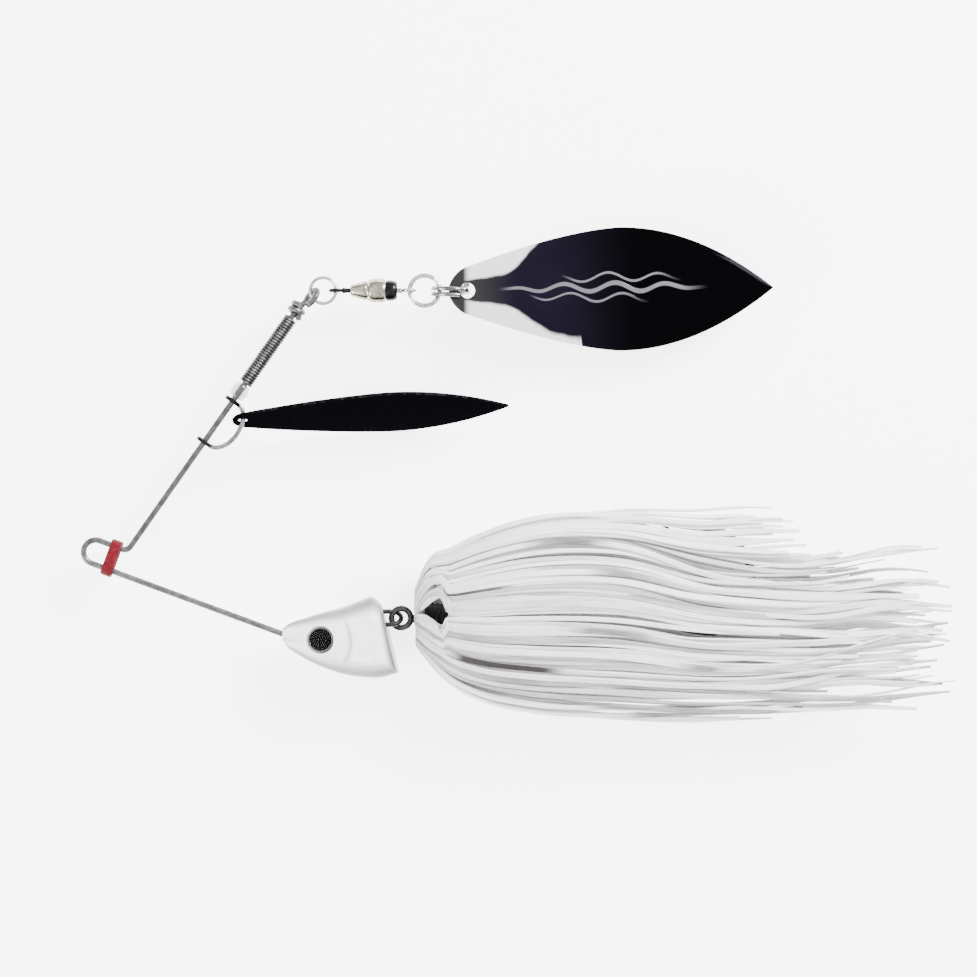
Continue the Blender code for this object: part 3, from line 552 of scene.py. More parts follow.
# Wires and rings
def arm_wire():
    """The lure's one wire: out of the nose, round the line tie, up the arm, round its end eye
    and twice round the arm again."""
    tie_middle = LOWER_END + ARM_SIDE * (TIE_SPACING / 2)
    bend_radius = 1.2
    turn = np.degrees(np.arctan2(-ARM_BACK[1], -ARM_BACK[0]))
    arm_angle = np.degrees(np.arctan2(ARM_UP[1], ARM_UP[0]))
    bend_start = UPPER_START + ARM_BACK
    bend_middle = bend_start + ARM_SIDE * bend_radius
    lean = np.radians(ARM_EYE_TILT)
    eye_side = ARM_OUT * np.cos(lean) + UP * np.sin(lean)
    arm_end = ARM_EYE - ARM_OUT * ARM_EYE_OFFSET
    neck = arm_end - ARM_UP * (ARM_EYE_RADIUS * 1.45)
    tie = arc(tie_middle, ARM_BACK, ARM_SIDE, TIE_SPACING / 2, -90, 90, 25)
    bend = arc(bend_middle, heading(0), heading(90), bend_radius, turn - 90, arm_angle - 90, 13)
    loop = arc(ARM_EYE, ARM_UP, eye_side, ARM_EYE_RADIUS, -130, 150, 40)
    runs = [
        straight(NOSE - ARM_BACK * 8.0, NOSE, 4),
        straight(NOSE, LOWER_END, 24),
        tie,
        straight(tie[-1], bend[0], 4),
        bend,
        straight(bend[-1], neck, 40)[1:],
        loop,
    ]
    path = np.concatenate(runs)
    eye_normal = unit(np.cross(ARM_UP, eye_side))
    lifts = np.tile(UP, (len(path), 1))
    share = np.linspace(0, 1, 40 + 39)[:, None]
    lifts[-79:] = unit(UP * (1 - share) + eye_normal * share)
    lifts[-40:] = eye_normal
    turns = np.linspace(0, 1.8, 50)[:, None]
    angle = turns * 2 * np.pi + np.radians(90)
    wrap_radius = 2 * WIRE + 0.02
    spoke = ARM_OUT * np.cos(angle) + UP * np.sin(angle)
    wrap = neck - ARM_UP * (turns * 2.06 * WIRE - 0.05) + spoke * wrap_radius
    main = grid_mesh("main_wire", sweep(path, round_section() * WIRE, lifts), caps=True)
    coil = grid_mesh("wrap", sweep(wrap, round_section() * WIRE, spoke), caps=True)
    return joined("arm_wire", main, coil)


def wound_sleeve():
    """A close-wound coil over the arm: one wire carried along a helix."""
    low, high = box("arm_sleeve")
    length = 13.6
    middle = (low + high) / 2
    coil_wire = 0.25
    turns = length / (1.96 * coil_wire) - 1
    share = np.linspace(0, 1, int(turns * 22))[:, None]
    angle = share * turns * 2 * np.pi
    spoke = ARM_OUT * np.cos(angle) + UP * np.sin(angle)
    path = middle + ARM_UP * ((share - 0.5) * (length - 2 * coil_wire)) + spoke * (1.2 - coil_wire)
    return grid_mesh("wound_sleeve", sweep(path, round_section(8) * coil_wire, ARM_UP), caps=True)


def clevis():
    """A stirrup: a half-ellipse bow of flat wire with an eyelet round the arm at each end, the eyelets
    painted near black as shade.
    """
    span, reach, eyelet, thick = 8.3, 3.7, 1.1, 0.4
    angle = np.radians(np.linspace(-90, 90, 41))[:, None]
    path = CLEVIS + ARM_UP * (span / 2 * np.sin(angle))
    path = path + ARM_OUT * (eyelet + (reach - eyelet) * np.cos(angle))
    bow = grid_mesh("clevis_bow", sweep(path, round_section() * thick), caps=True)
    fit(bow, "clevis", CLEVIS_STEEL, "steel", "clevis")
    ends = [
        lathe(
            "eyelet",
            softened([(0.7, -thick), (0.7, thick), (1.45, thick * 0.8), (1.45, -thick * 0.8)], 0.15),
            CLEVIS + ARM_UP * (way * span / 2),
            ARM_UP,
            40,
        )
        for way in (-1, 1)
    ]
    # The eyelets take the near-black plate: painted shade.
    fit(joined("clevis_eyelets", *ends), "clevis", SHADE_DARKENED_PLATE, "steel", "clevis")


def split_ring():
    """Flattened wire wound nearly twice round, with a gap between the turns."""
    centre = (box("split_ring")[0] + box("split_ring")[1]) / 2
    turns, radius, pitch = 1.9, 2.85, 0.95
    share = np.linspace(0, 1, 140)[:, None]
    angle = share * turns * 2 * np.pi + np.radians(60)
    spoke = ALONG * np.cos(angle) + UP * np.sin(angle)
    path = centre + spoke * radius + ACROSS * (pitch * turns * (share - 0.5))
    section = flat_section(0.74, 0.8, 12, 0.7)
    return grid_mesh("wound_split_ring", sweep(path, section, spoke), caps=True)


def swivel_pieces():
    """The barrel with its crimped lip and grooves, the cap, and an eye on a stem at each end."""
    front, rear, base = pin("swivel_lift"), pin("rear_ring_swing"), pin("swivel_spin")
    barrel = softened([
        (0.55, 0), (0.82, 0), (1.05, 0.5), (1.62, 2.5), (1.50, 2.75), (1.56, 2.95), (1.86, 3.3),
        (1.98, 3.9), (2.0, 4.8), (1.94, 5.5), (1.78, 5.9), (1.45, 5.9), (1.45, 1.9), (0.55, 1.9),
    ][::-1], 0.12)
    shell = lathe("swivel_shell", barrel, base, ALONG)
    fit(shell, "swivel", BARREL_BRASS, "nickel", "swivel_barrel")
    cap = softened([
        (0.55, 4.75), (1.35, 4.75), (1.35, 5.95), (1.72, 6.0), (1.74, 6.5), (1.66, 7.2),
        (1.36, 7.8), (0.55, 7.8),
    ][::-1], 0.12)
    # The cap takes the near-black plate: painted shade.
    fit(lathe("swivel_end_cap", cap, base, ALONG), "swivel", SHADE_DARKENED_PLATE, "dark_steel", "swivel_cap")
    eyes = (
        # The front eye takes the near-black plate: painted shade.
        ("front_eye", front, ALONG, base[0] - front[0] + 2.4, SHADE_DARKENED_PLATE, "swivel"),
        ("rear_eye", rear, -ALONG, rear[0] - base[0] - 3.9, RING_NICKEL, "swivel_shaft"),
    )
    for name, eye, way, reach, look, body in eyes:
        stem = softened([(0.01, reach + 0.5), (1.3, reach + 0.5), (1.3, reach), (0.4, reach),
                         (0.4, 1.6), (0.52, 1.25), (0.3, 0.95), (0.01, 0.95)], 0.08)
        parts = [
            lathe("stem", stem[::-1], eye, way, 32, bore=False),
            hoop("loop", eye, ACROSS, SWIVEL_EYE_RADIUS, SWIVEL_EYE_WIRE, 48),
        ]
        fit(joined("swivel_" + name + "_loop", *parts), body, look, "steel", "swivel_" + name)


def hanger():
    """A staple in the back of the head: two legs and the bow that the hook's eye swings on."""
    lean = np.radians(HANGER_LEAN)
    side = np.array([0, -np.sin(lean), np.cos(lean)])
    bow = arc(HOOK_EYE - ALONG * HANGER_HALF, ALONG, side, HANGER_HALF, -90, 90, 25)
    depth = ALONG * HANGER_DEPTH
    path = np.concatenate([bow[:1] - depth, bow, bow[-1:] - depth])
    staple = sweep(path, round_section() * HANGER_WIRE, np.cross(ALONG, side))
    return grid_mesh("hanger_staple", staple, caps=True)


def long_hook():
    """Eye, straight shank, round bend, and a point tapered to nothing, with its barb."""
    radius = HOOK_GAP / 2
    bend_start = HOOK_EYE + SHANK * (HOOK_LENGTH - radius - HOOK_WIRE)
    centre = bend_start + SHANK_SIDE * radius
    bend = arc(centre, SHANK, SHANK_SIDE, radius, -90, 90, 41)
    reach = np.linspace(0, HOOK_POINT, 16)[1:, None]
    point = bend[-1] - SHANK * reach + SHANK_SIDE * (0.01 * reach ** 2)
    shank = straight(HOOK_EYE + SHANK * 2.0, bend[0], 20)
    path = np.concatenate([shank, bend, point])
    size = np.ones(len(path))
    size[-15:] = np.sqrt(np.clip(1.02 - (reach[:, 0] / HOOK_POINT) ** 1.6, 0.004, 1))
    body = grid_mesh("shank", sweep(path, round_section() * HOOK_WIRE, UP, size), caps=True)
    eye = hoop("eye", HOOK_EYE, UP, HOOK_EYE_RADIUS, HOOK_EYE_WIRE)
    root = bend[-1] - SHANK * 6.5 + SHANK_SIDE * 0.3
    along = np.linspace(0, 1, 12)[:, None]
    barb = root + SHANK * (3.0 * along - 1.0) - SHANK_SIDE * (1.5 * along ** 1.5)
    sizes = 0.34 * (1.02 - along[:, 0] ** 2)
    spur = grid_mesh("barb", sweep(barb, round_section(10), UP, sizes), caps=True)
    return joined("long_shank_hook", body, eye, spur)


def line_tie_band():
    """A soft sleeve pinched round both legs of the line tie: a rounded wall on a stadium path."""
    low, high = box("tie_band")
    centre = (low + high) / 2
    half = TIE_SPACING / 2
    wall, width, bore = 0.45, 1.9, WIRE + 0.2
    radius = bore + wall / 2
    first = arc(centre + ARM_SIDE * half, UP, ARM_SIDE, radius, 0, 180, 25)
    second = arc(centre - ARM_SIDE * half, UP, ARM_SIDE, radius, 180, 360, 25)
    path = np.concatenate([first, straight(first[-1], second[0], 8)[1:],
                           second, straight(second[-1], first[0], 8)[1:]])
    return grid_mesh(
        "line_tie_band",
        sweep(path, flat_section(wall, width, 20, 0.55), ARM_BACK, closed=True),
        closed_rows=True,
    )


# Blades
def leaf_half_width(s, width, length, widest):
    """Half a leaf's width at s of its length: a round front, a long swell and a sharp tip."""
    neck = 0.27
    behind = 1 - (np.maximum(s - widest, 0) / (1 - widest)) ** 2
    ahead = 1 - (1 - neck) * (np.maximum(widest - s, 0) / widest) ** 1.5
    front = neck * width / 2 / length
    rounding = np.sqrt(1 - (1 - np.minimum(s / front, 1)) ** 2)
    return np.maximum(width / 2 * behind * ahead * rounding, 0.12)


def leaf(name, hole, drill, turns, size, widest):
    """A cupped leaf of sheet metal with a rounded rim and a hole near its front end.

    Lines run from the hole's edge to the outline, over the rim and back underneath, so the
    sheet is one closed surface.  Its height is the cup's depth times a swell along the
    leaf times one less the square of the share of the half width.
    """
    length, width, cup = size
    radius, margin = drill
    setback = radius + margin
    thickness = 0.5
    ease = (1 - np.cos(np.linspace(0, np.pi, 90))) / 2
    s = 0.0015 + 0.997 * ease
    half = leaf_half_width(s, width, length, widest)
    edge_x = np.concatenate([s, s[::-1]]) * length - setback
    edge_y = np.concatenate([half, -half[::-1]])
    bearing = np.unwrap(np.arctan2(edge_y, edge_x))
    rank = np.linspace(0, 1, len(edge_x))
    even = np.radians(178) - rank * np.radians(356)
    spoke = (bearing + even) / 2
    face, flat = np.linspace(0, 1, 22) ** 0.8, np.ones(22)
    rim = np.pi * np.arange(1, 6) / 6
    out = np.concatenate([face, np.ones(5), face[::-1], np.zeros(5)])
    level = np.concatenate([flat, np.cos(rim), -flat, -np.cos(rim)])
    bulge = np.concatenate([0 * flat, np.sin(rim), 0 * flat, -np.sin(rim)])
    bore = np.stack([radius * np.cos(spoke), radius * np.sin(spoke)], -1)
    edge = np.stack([edge_x, edge_y], -1)
    reach = edge - bore
    inset = 0.22 * unit(reach)
    start, finish = bore + inset * 0.5, edge - inset
    outline = start + (finish - start) * out[:, None, None] + inset * bulge[:, None, None]
    x, y = outline[..., 0], outline[..., 1]
    share = np.clip((x + setback) / length, 0, 1)
    across = y / leaf_half_width(share, width, length, widest)
    swell = np.sin(np.pi * np.clip((share - 0.1) / 0.9, 0, 1) ** 0.8)
    z = cup * swell * (1 - np.clip(across, -1, 1) ** 2) + level[:, None] * thickness / 2
    turn_z, turn_x = np.radians(turns)
    turned = np.array(Matrix.Rotation(turn_z, 3, "Z") @ Matrix.Rotation(turn_x, 3, "X"))
    grid = hole + np.stack([x, y, z], -1) @ turned.T
    fields = {"run": share, "side": across, "face": np.broadcast_to(level[:, None] > 0.9, x.shape)}
    return grid_mesh(name, grid, closed_rows=True, fields=fields)


# Head
def head_shell():
    """A fish's head: rings of points between a back line and a belly line, swelling to the
    cheeks, with a curved gill groove and a mouth line pressed into it.

    up and out are the cosine and the sine of each point's angle, raised to powers under one.
    """
    tops = np.array([(0, 1.0), (1.3, 1.9), (3.3, 2.6), (6.2, 3.5), (10.2, 4.6), (13.2, 5.75),
                     (14.9, 6.2), (16.4, 4.9)])
    bottoms = np.array([(0, -1.0), (1.1, -2.4), (3.1, -3.7), (6.0, -5.2), (10.0, -6.6),
                        (14.2, -7.2), (16.8, -7.1), (19.2, -6.4)])
    sides = np.array([1.0, 2.2, 3.5, 5.0, 6.3, 6.9, 6.7, 5.6])
    knots = np.linspace(0, 1, len(tops))
    fine = np.linspace(0, 1, 90)
    top = np.stack([curve_through(knots, tops[:, k], fine) for k in (0, 1)], -1)
    low = np.stack([curve_through(knots, bottoms[:, k], fine) for k in (0, 1)], -1)
    thick = curve_through(knots, sides, fine)
    angles = np.linspace(0, 2 * np.pi, 120, endpoint=False)
    up = np.sign(np.cos(angles)) * np.abs(np.cos(angles)) ** 0.9
    out = np.sign(np.sin(angles)) * np.abs(np.sin(angles)) ** 0.8
    lift = (1 + up) / 2
    x = low[:, :1] * (1 - lift) + top[:, :1] * lift
    y = low[:, 1:] * (1 - lift) + top[:, 1:] * lift
    gill_line = 11.6 - 0.085 * (y + 1.0) ** 2
    groove = np.exp(-((x - gill_line) / 0.38) ** 2) * np.abs(out) ** 2
    mouth = np.exp(-((y + 0.62 + 0.22 * x) / 0.26) ** 2) * np.clip(1 - x / 4.2, 0, 1) * np.abs(out)
    z = np.outer(thick, out) * (1 - 0.045 * groove - 0.10 * mouth)
    z = np.clip(z, -PLANE, PLANE) + PLANE
    grid = np.stack([x + NOSE[0], y + NOSE[1], z], -1)
    # back, tail and gill are where the pearl paint lays its painted shade.
    fields = {
        "back": np.broadcast_to(np.abs(up)[None, :], x.shape),
        "tail": np.broadcast_to(fine[:, None], x.shape),
        "gill": np.maximum(groove, mouth),
    }
    return grid_mesh("fish_head", grid, caps=True, fields=fields)


def bored(piece, *cutters):
    """A piece with its cutters' shapes taken out, as plain mesh."""
    for cutter in cutters:
        modifier = piece.modifiers.new("bore", "BOOLEAN")
        modifier.operation = "DIFFERENCE"
        modifier.solver = "EXACT"
        modifier.object = cutter
    bpy.context.view_layer.update()
    evaluated = piece.evaluated_get(bpy.context.evaluated_depsgraph_get())
    mesh = bpy.data.meshes.new_from_object(evaluated)
    piece.modifiers.clear()
    piece.data = mesh
    for cutter in cutters:
        bpy.data.objects.remove(cutter)
    return piece


def eye_place(side):
    """The middle of an eye socket's floor, on the upper (1) or the lower (-1) cheek."""
    return NOSE + np.array([6.5, -0.7, side * EYE_SEAT])


def head_pieces():
    """The painted head with its sockets, and in each an iris dish, a pupil and a domed lens."""
    shell = head_shell()
    cutters = []
    for side in (1, -1):
        wide = EYE_RADIUS + 0.1
        profile = softened([(0.01, 4), (wide, 4), (wide, 0), (0.01, 0)], 0.05)
        cutters.append(lathe("socket", profile, eye_place(side), UP * side, 64, bore=False))
    fit(bored(shell, *cutters), "root", PEARL, "pearl_paint", "head")
    for name, side in (("left", 1), ("right", -1)):
        floor = eye_place(side) + UP * (side * 0.05)
        outward = UP * side
        rim = EYE_RADIUS - 0.1
        radii = np.array([rim, rim, rim * 0.96, rim * 0.8, rim * 0.6, rim * 0.4, 0.01])
        heights = np.array([0, 0.34, 0.38, 0.34, 0.31, 0.3, 0.3])
        profile = np.concatenate([[(0.01, 0)], np.stack([radii, heights], -1)])
        iris = lathe("iris_dish_" + name, profile, floor, outward, 64, bore=False)
        rings = np.repeat(profile[:, 0] / rim, 64)
        turns = np.tile(np.linspace(0, 2 * np.pi, 64, endpoint=False), len(profile))
        for field, values in (("ring", rings), ("turn", turns)):
            attribute = iris.data.attributes.new(field, "FLOAT", "POINT")
            attribute.data.foreach_set("value", values.astype(np.float32))
        fit(iris, "root", IRIS, "iris", "eye_iris_" + name)
        black = EYE_RADIUS * 0.84
        disc = softened([(0.01, 0.0), (black, 0.0), (black, 0.1), (0.01, 0.14)], 0.04)
        pupil = lathe("pupil_disc_" + name, disc, floor + outward * 0.35, outward, 64, bore=False)
        fit(pupil, "root", BLACK_GLOSS, "black_paint", "eye_pupil_" + name)
        tilt = np.linspace(0, np.pi / 2, 14)[::-1]
        dome = np.stack([rim * np.sin(tilt), 0.35 + 0.6 * np.cos(tilt)], -1)
        dome[-1, 0] = 0.01
        lens = lathe("lens_dome_" + name, np.concatenate([[(0.01, 0), (rim, 0)], dome]),
                     floor + outward * 0.52, outward, 64, bore=False)
        fit(lens, "root", LENS, "clear", "eye_lens_" + name)


# Skirt
def skirt_outline(x):
    """The skirt's lower edge, upper edge and height over the lure's plane, x from its front."""
    knots = np.array([0.0, 1.8, 5.8, 10.8, 17.5, 33.0, 48.0, 63.0, 80.0, 89.2])
    depths = np.array([4.2, 6.8, 10.8, 13.4, 15.0, 16.2, 16.2, 15.5, 15.0, 14.3])
    heights = np.array([5.4, 9.8, 12.3, 14.8, 17.0, 17.5, 12.6, 10.7, 12.2, 11.5])
    rises = np.array([4.6, 6.5, 8.6, 9.9, 10.8, 10.4, 8.6, 7.0, 4.6, 3.6])
    low = COLLAR[1] - curve_through(knots, depths, x)
    top = COLLAR[1] + curve_through(knots, heights, x)
    return low, top, curve_through(knots, rises, x)


def parted(x, y):
    """Strands pushed aside round a three-cornered opening over the collar.

    The opening's half height grows evenly from its front corner and closes quickly behind;
    distances from its middle are squeezed into what is left of the strands' own reach.
    """
    front, back, height, reach = COLLAR[0] - 3.0, COLLAR[0] + 1.2, 3.1, 7.0
    closing, middle = 0.8, COLLAR[1] + 1.75
    ahead = np.clip((x - front) / (back - front), 0, 1)
    behind = np.clip((back + closing - x) / closing, 0, 1)
    opening = height * ahead * behind
    away = y - middle
    nearest = np.argmin(np.abs(x - COLLAR[0]), axis=1)[:, None]
    side = np.where(np.take_along_axis(away, nearest, 1) < 0, -1.0, 1.0)
    distance = np.clip(away * side, 0, reach)
    pushed = middle + side * (opening + distance * (1 - opening / reach))
    held = np.clip((back + 3.0 - x) / 3.0, 0, 1) * (np.abs(away) < reach)
    return y + (pushed - y) * held


def strands(name, angles, depths, lengths, shades, lifts=0.0, starts=0.0, streaks=None):
    """Flat strands of silicone.

    Each starts under the collar, runs forward out of it, turns back over the skirt's round
    front and then follows the skirt's outline: at every distance its place is the middle of
    the outline plus its depth's share of the half width and of the height, by the cosine
    and the sine of its own angle.  lifts bend a strand sideways, from starts to its tip.
    Waves grow towards the tip, and so does the twist.  streaks darken strands between two
    distances as painted shade: each is a start, an end and how much darker.
    """
    count = len(angles)
    columns = [np.broadcast_to(np.asarray(v, float), count)[:, None]
               for v in (angles, depths, lengths, lifts, starts)]
    angles, depths, lengths, lifts, starts = columns
    steps = np.linspace(0, 1, 44) ** 1.5
    reach_x = lengths * SKIRT_LENGTH
    x = reach_x * steps[None, :]
    low, top, rise = (v.reshape(x.shape) for v in skirt_outline(x.ravel()))
    cosine, sine = np.cos(angles), np.sin(angles)
    wide = np.sign(cosine) * np.abs(cosine) ** 0.9
    tall = np.sign(sine) * np.abs(sine) ** 0.75
    reach = depths + (1 - depths) * np.exp(-x / 6.0)
    y = (low + top) / 2 + (top - low) / 2 * wide * reach * 0.97
    z = PLANE + np.where(tall > 0, rise * 0.93, np.minimum(rise, PLANE - 0.75)) * tall * reach
    phase = rng.uniform(0, 2 * np.pi, (count, 4))
    pace = rng.uniform(0.7, 1.5, (count, 4))
    drift = rng.normal(0, 1.5, (count, 1))
    swing = 0.04 + 0.96 * (x / SKIRT_LENGTH) ** 1.3
    y = y + swing * np.sin(x / 17 * pace[:, :1] + phase[:, :1])
    y = y + swing ** 2 * 0.5 * np.sin(x / 5.0 * pace[:, 1:2] + phase[:, 1:2])
    y = y + drift * np.clip(x / SKIRT_LENGTH - 0.25, 0, 1) ** 1.5
    bend = np.clip((x - starts) / np.maximum(reach_x - starts, 1), 0, 1)
    y = y + lifts * bend ** 2 * (3 - 2 * bend)
    z = z + swing * 0.8 * np.sin(x / 13 * pace[:, 2:3] + phase[:, 2:3])
    above = sine > 0
    z = np.where(above & (x > 30), np.maximum(z, PLANE + 1.3), z)
    z = np.clip(z, 0.55, PLANE + 10.3)
    x = SKIRT_FRONT + 0.35 + x
    y = np.where(above, parted(x, y), y)
    body = np.stack([x, y, z], -1)
    spoke = np.stack([np.zeros_like(cosine), cosine, sine], -1)
    neck_x = (np.array([0.7, 0.1, -0.5, -1.1]) - COLLAR_HALF)[None, :, None]
    neck_radius = np.array([2.1, 2.1, 2.3, 3.1])[None, :, None]
    neck = COLLAR + SHANK * neck_x + spoke * neck_radius
    path = np.concatenate([neck, body[:, :1] * 0.5 + neck[:, -1:] * 0.5, body], 1)
    along = np.concatenate([np.zeros((count, 5)), (x - x[:, :1]) / SKIRT_LENGTH], 1)
    twist = phase[:, 3:] + along * rng.uniform(-5, 5, (count, 1))
    turn = np.clip(along * 1.8, 0, 1) * np.sin(twist)
    lift = spoke + np.array([0, 0, 0.25]) + turn[..., None] * np.array([0, 0.9, 0.4])
    width = rng.uniform(0.75, 1.25, (count, 1)) * (0.7 + 0.3 * np.clip(along * 12, 0, 1))
    width = width * (1 - 0.5 * np.clip((np.linspace(0, 1, path.shape[1]) - 0.93) / 0.07, 0, 1))
    grid = sweep(path, flat_section(1.0, 0.42, 8, 0.5), unit(lift))
    middle = grid.mean(2, keepdims=True)
    grid = middle + (grid - middle) * width[..., None, None]
    grid[..., 2] = np.clip(grid[..., 2], 0.28, None)
    tone = np.asarray(shades, float)[:, None] + 0.06 * np.sin(along * 30 + phase[:, :1])
    # Painted shade: every strand darkens towards its root under the collar.
    tone = tone - 0.22 * np.exp(-along * 14)
    if streaks is not None:
        start, end, dark = (v[:, None] for v in streaks.T)
        entered = 1 / (1 + np.exp(-(path[..., 0] - start) / 0.8))
        left = 1 / (1 + np.exp((path[..., 0] - end) / 0.8))
        tone = tone - dark * entered * left
    spread = np.ones((1, 1, grid.shape[2]))
    fields = {
        "shade": tone[..., None] * spread,
        "warm": rng.uniform(0, 1, (count, 1, 1)) * np.ones(path.shape)[..., :1] * spread,
    }
    return grid_mesh(name, grid, caps=True, fields=fields)


# Strands that stand out of the skirt: place across it from -1 to 1, length as a share of
# the skirt's, sideways bend at the tip, where the bend starts, and shade
FREE_STRANDS = np.array([
    (0.995, 0.66, 7.8, 26.0, 0.86), (0.985, 0.61, 7.0, 25.0, 0.80), (0.975, 0.68, 6.6, 27.0, 0.78),
    (0.965, 0.63, 6.2, 25.0, 0.90), (0.955, 0.66, 6.0, 26.0, 0.84), (0.945, 0.70, 5.8, 27.0, 0.90),
    (0.935, 0.64, 5.6, 25.0, 0.72), (0.925, 0.68, 5.4, 27.0, 0.88), (0.915, 0.66, 5.0, 26.0, 0.86),
    (0.90, 0.71, 4.8, 28.0, 0.80), (0.885, 0.66, 4.6, 27.0, 0.90), (0.87, 0.70, 4.2, 28.0, 0.76),
    (0.855, 0.67, 3.8, 27.0, 0.88), (0.84, 0.72, 3.6, 29.0, 0.86), (0.82, 0.69, 3.2, 28.0, 0.90),
    (0.80, 0.73, 2.8, 29.0, 0.74), (0.96, 0.94, 3.2, 70.0, 0.60), (0.90, 0.97, 1.6, 72.0, 0.72),
    (-0.99, 0.66, -2.0, 14.0, 0.90), (-0.97, 0.60, -1.4, 12.0, 0.84), (-0.90, 1.0, 1.5, 60.0, 0.80),
    (-0.6, 0.92, 3.4, 55.0, 0.70), (-0.35, 0.90, 3.0, 58.0, 0.76),
])

# Stretches of strands darkened as painted shade: from, to and height in the lure's plane, and how dark
SHADE_STREAK_STRANDS = np.array([
    (17.3, 33.0, -3.5, 1.05), (12.5, 25.8, 8.4, 0.80), (28.7, 40.8, 16.0, 0.66),
    (39.0, 73.0, 7.7, 0.52), (36.7, 49.0, 2.1, 0.58), (38.7, 58.5, -10.8, 0.58),
    (53.7, 60.3, -3.5, 0.58), (75.7, 84.7, 13.6, 0.62), (84.0, 90.3, 6.8, 0.58),
    (66.0, 73.0, -6.9, 0.50), (46.0, 70.0, -13.0, 0.56), (30.0, 44.0, 11.8, 0.46),
])


def skirt():
    """Eight bundles of strands, four over the hook's plane and four under it, each in place
    of its CAD bundle, then the strands darkened in stretches as painted shade and the free ones."""
    lanes = 4
    per_lane = 20
    for name, way in (("upper", 1), ("lower", -1)):
        for lane in range(lanes):
            share = (lane + (np.arange(per_lane) + rng.uniform(0.1, 0.9, per_lane)) / per_lane) / lanes
            angles = way * np.arccos(np.clip(2 * share - 1, -0.995, 0.995))
            inner = np.arange(per_lane) % 3 == 0
            depths = np.where(inner, 0.72, 1.0) * rng.uniform(0.9, 1.0, per_lane)
            lengths = 1 - 0.34 * rng.uniform(0, 1, per_lane) ** 1.2
            lengths = np.where(np.abs(2 * share - 1) > 0.9, lengths * 0.84, lengths)
            smoky = rng.uniform(0, 1, per_lane) < 0.28
            shades = np.where(smoky, 0.46, 0.82) + rng.uniform(-0.2, 0.14, per_lane)
            bundle = strands("strands_%s_%d" % (name, lane + 1), angles, depths, lengths, shades)
            fit(bundle, "hook", SILICONE, "silicone", "skirt_%s_%d" % (name, lane + 1))
    start, end, height, dark = SHADE_STREAK_STRANDS.T
    low, top, _ = skirt_outline((start + end) / 2 - SKIRT_FRONT)
    share = np.clip((height - (low + top) / 2) / ((top - low) / 2 * 0.97), -0.97, 0.97)
    angles = np.arccos(np.sign(share) * np.abs(share) ** (1 / 0.9))
    # Pale strands with stretches darkened as painted shade.
    bundle = strands("strands_shade_streaked", angles, 1.04, 0.93, np.full(len(angles), 0.84),
                     streaks=np.stack([start, end, dark], -1))
    fit(bundle, "hook", SILICONE, "silicone")
    across, lengths, lifts, starts, shades = FREE_STRANDS.T
    bundle = strands("strands_free", np.arccos(across), 1.0, lengths, shades, lifts, starts)
    fit(bundle, "hook", SILICONE, "silicone")


def skirt_fixings():
    """The ribbed rubber collar that ties the strands, and the core they lie round."""
    half = COLLAR_HALF
    ribs = np.linspace(-half, half, 60)
    outer = 2.62 + 0.22 * np.abs(np.cos(ribs / (2 * half) * np.pi * 4)) - 0.12 * (ribs / half) ** 4
    profile = np.concatenate([np.stack([outer, ribs], -1), [(1.75, half), (1.75, -half)]])
    collar = lathe("ribbed_collar", profile, COLLAR, SHANK)
    fit(collar, "hook", BLACK_RUBBER, "black_rubber", "skirt_collar")
    end = half + 0.4
    core = softened([(0.8, -end), (1.5, -end), (1.6, -half), (1.6, half), (1.5, end), (0.8, end)], 0.12)
    fit(lathe("collar_core", core, COLLAR, SHANK), "hook", BLACK_RUBBER, "black_rubber", "skirt_core")


fit(arm_wire(), "root", WIRE_STEEL, "steel", "main_wire")
fit(line_tie_band(), "band", RED_RUBBER, "red_rubber", "tie_band")
clevis()
fit(wound_sleeve(), "sleeve", COIL_STEEL, "steel", "arm_sleeve")
bead_low, bead_high = box("arm_bead")
bead_shape = [(1.5 * (1 - 0.28 * t ** 2), 1.3 * t) for t in np.linspace(-1, 1, 15)]
bead_profile = softened(bead_shape + [(0.7, 1.3), (0.7, -1.3)], 0.1)
bead = lathe("clear_bead", bead_profile, (bead_low + bead_high) / 2, ARM_UP)
fit(bead, "bead", BEAD, "clear", "arm_bead")
for ring, radius, wire in (("front_ring", 2.15, 0.3), ("rear_ring", 2.5, 0.4)):
    low, high = box(ring)
    made = hoop(ring + "_hoop", (low + high) / 2, UP, radius, wire)
    fit(made, ring, RING_NICKEL, "steel", ring)
swivel_pieces()
fit(split_ring(), "split_ring", CLEVIS_STEEL, "steel", "split_ring")
fit(hanger(), "root", TIE_STEEL, "steel", "hook_hanger")
fit(long_hook(), "hook", TIE_STEEL, "dark_steel", "hook")
fit(leaf("small_willow_leaf", pin("small_blade_lift"), (0.9, 0.9), (3.2, 63.5), (46.2, 13.0, 1.3), 0.58),
    "small_blade", BLACK_GLOSS, "black_paint", "small_blade")
fit(leaf("big_willow_leaf", pin("big_blade_swing"), (1.35, 1.85), (0.6, 0.0), (54.2, 20.6, 1.7), 0.53),
    "big_blade", BLACK_NICKEL, "black_nickel", "big_blade")
head_pieces()
skirt()
skirt_fixings()
for index in range(6):
    ball = frame["nodes"]["swivel_ball_%d" % (index + 1)]
    ball.data.materials.clear()
    ball.data.materials.append(RING_NICKEL)


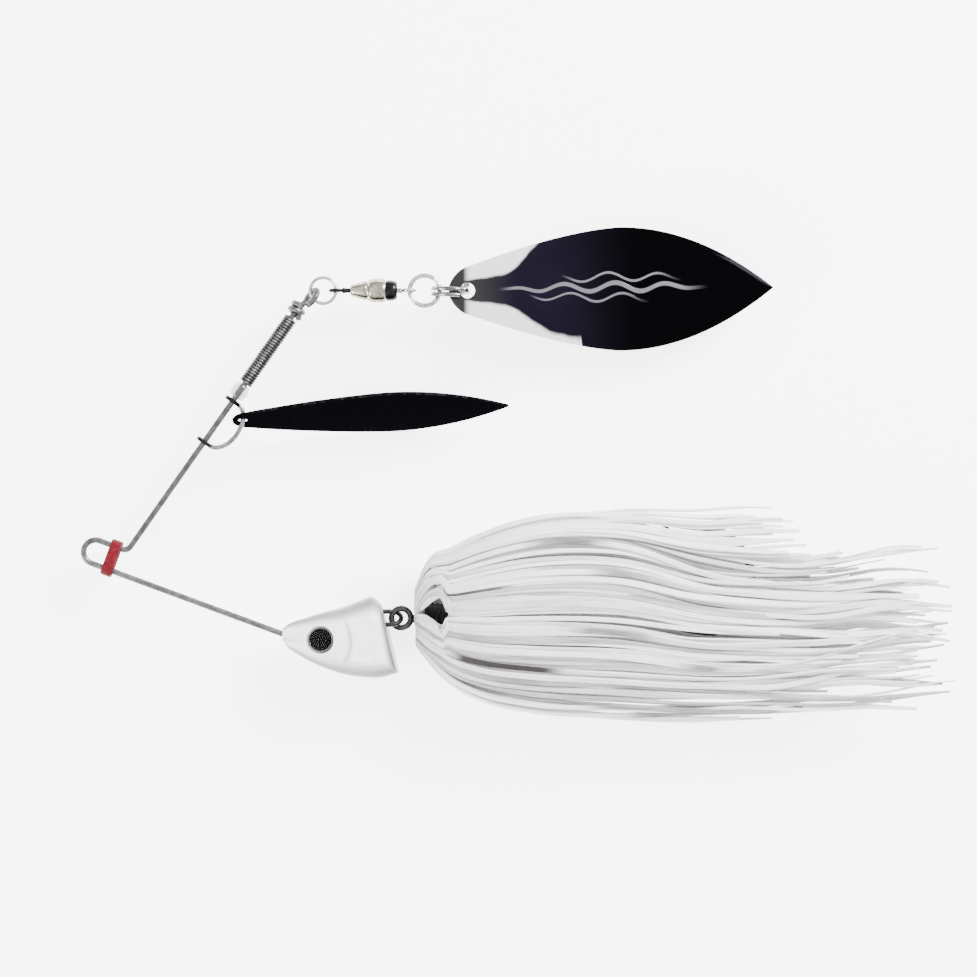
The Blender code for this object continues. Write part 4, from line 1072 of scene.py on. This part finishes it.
# Floor, light and camera
def studio():
    """A white floor under two broad lights and a sky that darkens towards its horizon."""
    floor_look = Finish("floor_card", Roughness=0.9, Emission_Color=(1, 1, 1, 1), Emission_Strength=3.4)
    fibre = floor_look.noise(floor_look.place(), 0.2, detail=2.0)
    floor_look.feed("Base Color", floor_look.mix(fibre, (0.93, 0.93, 0.93), (0.95, 0.95, 0.95)))
    reach = 4000.0
    corners = np.array([[(-reach, -reach, -0.06), (reach, -reach, -0.06)],
                        [(-reach, reach, -0.06), (reach, reach, -0.06)]])
    floor = grid_mesh("floor", corners[:, ::-1], closed_columns=False)
    floor.data.materials.append(floor_look.material)
    world = bpy.data.worlds.new("studio")
    bpy.context.scene.world = world
    world.use_nodes = True
    nodes, wires = world.node_tree.nodes, world.node_tree.links
    direction, split = nodes.new("ShaderNodeTexCoord"), nodes.new("ShaderNodeSeparateXYZ")
    dusk = nodes.new("ShaderNodeMapRange")
    for socket, value in (("From Min", 0.0), ("From Max", 0.6), ("To Min", 0.12), ("To Max", 1.0)):
        dusk.inputs[socket].default_value = value
    wires.new(direction.outputs["Generated"], split.inputs[0])
    wires.new(split.outputs["Z"], dusk.inputs["Value"])
    wires.new(dusk.outputs["Result"], nodes["Background"].inputs["Color"])
    nodes["Background"].inputs["Strength"].default_value = 2.6
    for name, place, size, energy in (
        ("key", (560, 520, 460), 360, 26.0),
        ("fill", (-620, -360, 400), 420, 10.0),
    ):
        data = bpy.data.lights.new(name, "AREA")
        data.size = size * MM
        data.energy = energy
        lamp = bpy.data.objects.new(name, data)
        place = np.array(place) * MM
        lamp.location = place
        aim = np.array([22.0, 25.0, 5.0]) * MM - place
        lamp.rotation_euler = Vector(aim).to_track_quat("-Z", "Y").to_euler()
        bpy.context.scene.collection.objects.link(lamp)
    data = bpy.data.cameras.new("camera")
    data.lens = 100
    data.sensor_width = 36
    data.clip_start = 0.01
    camera = bpy.data.objects.new("camera", data)
    camera.location = np.array([22.25, 25.25, 458.0]) * MM
    bpy.context.scene.collection.objects.link(camera)
    bpy.context.scene.camera = camera


studio()
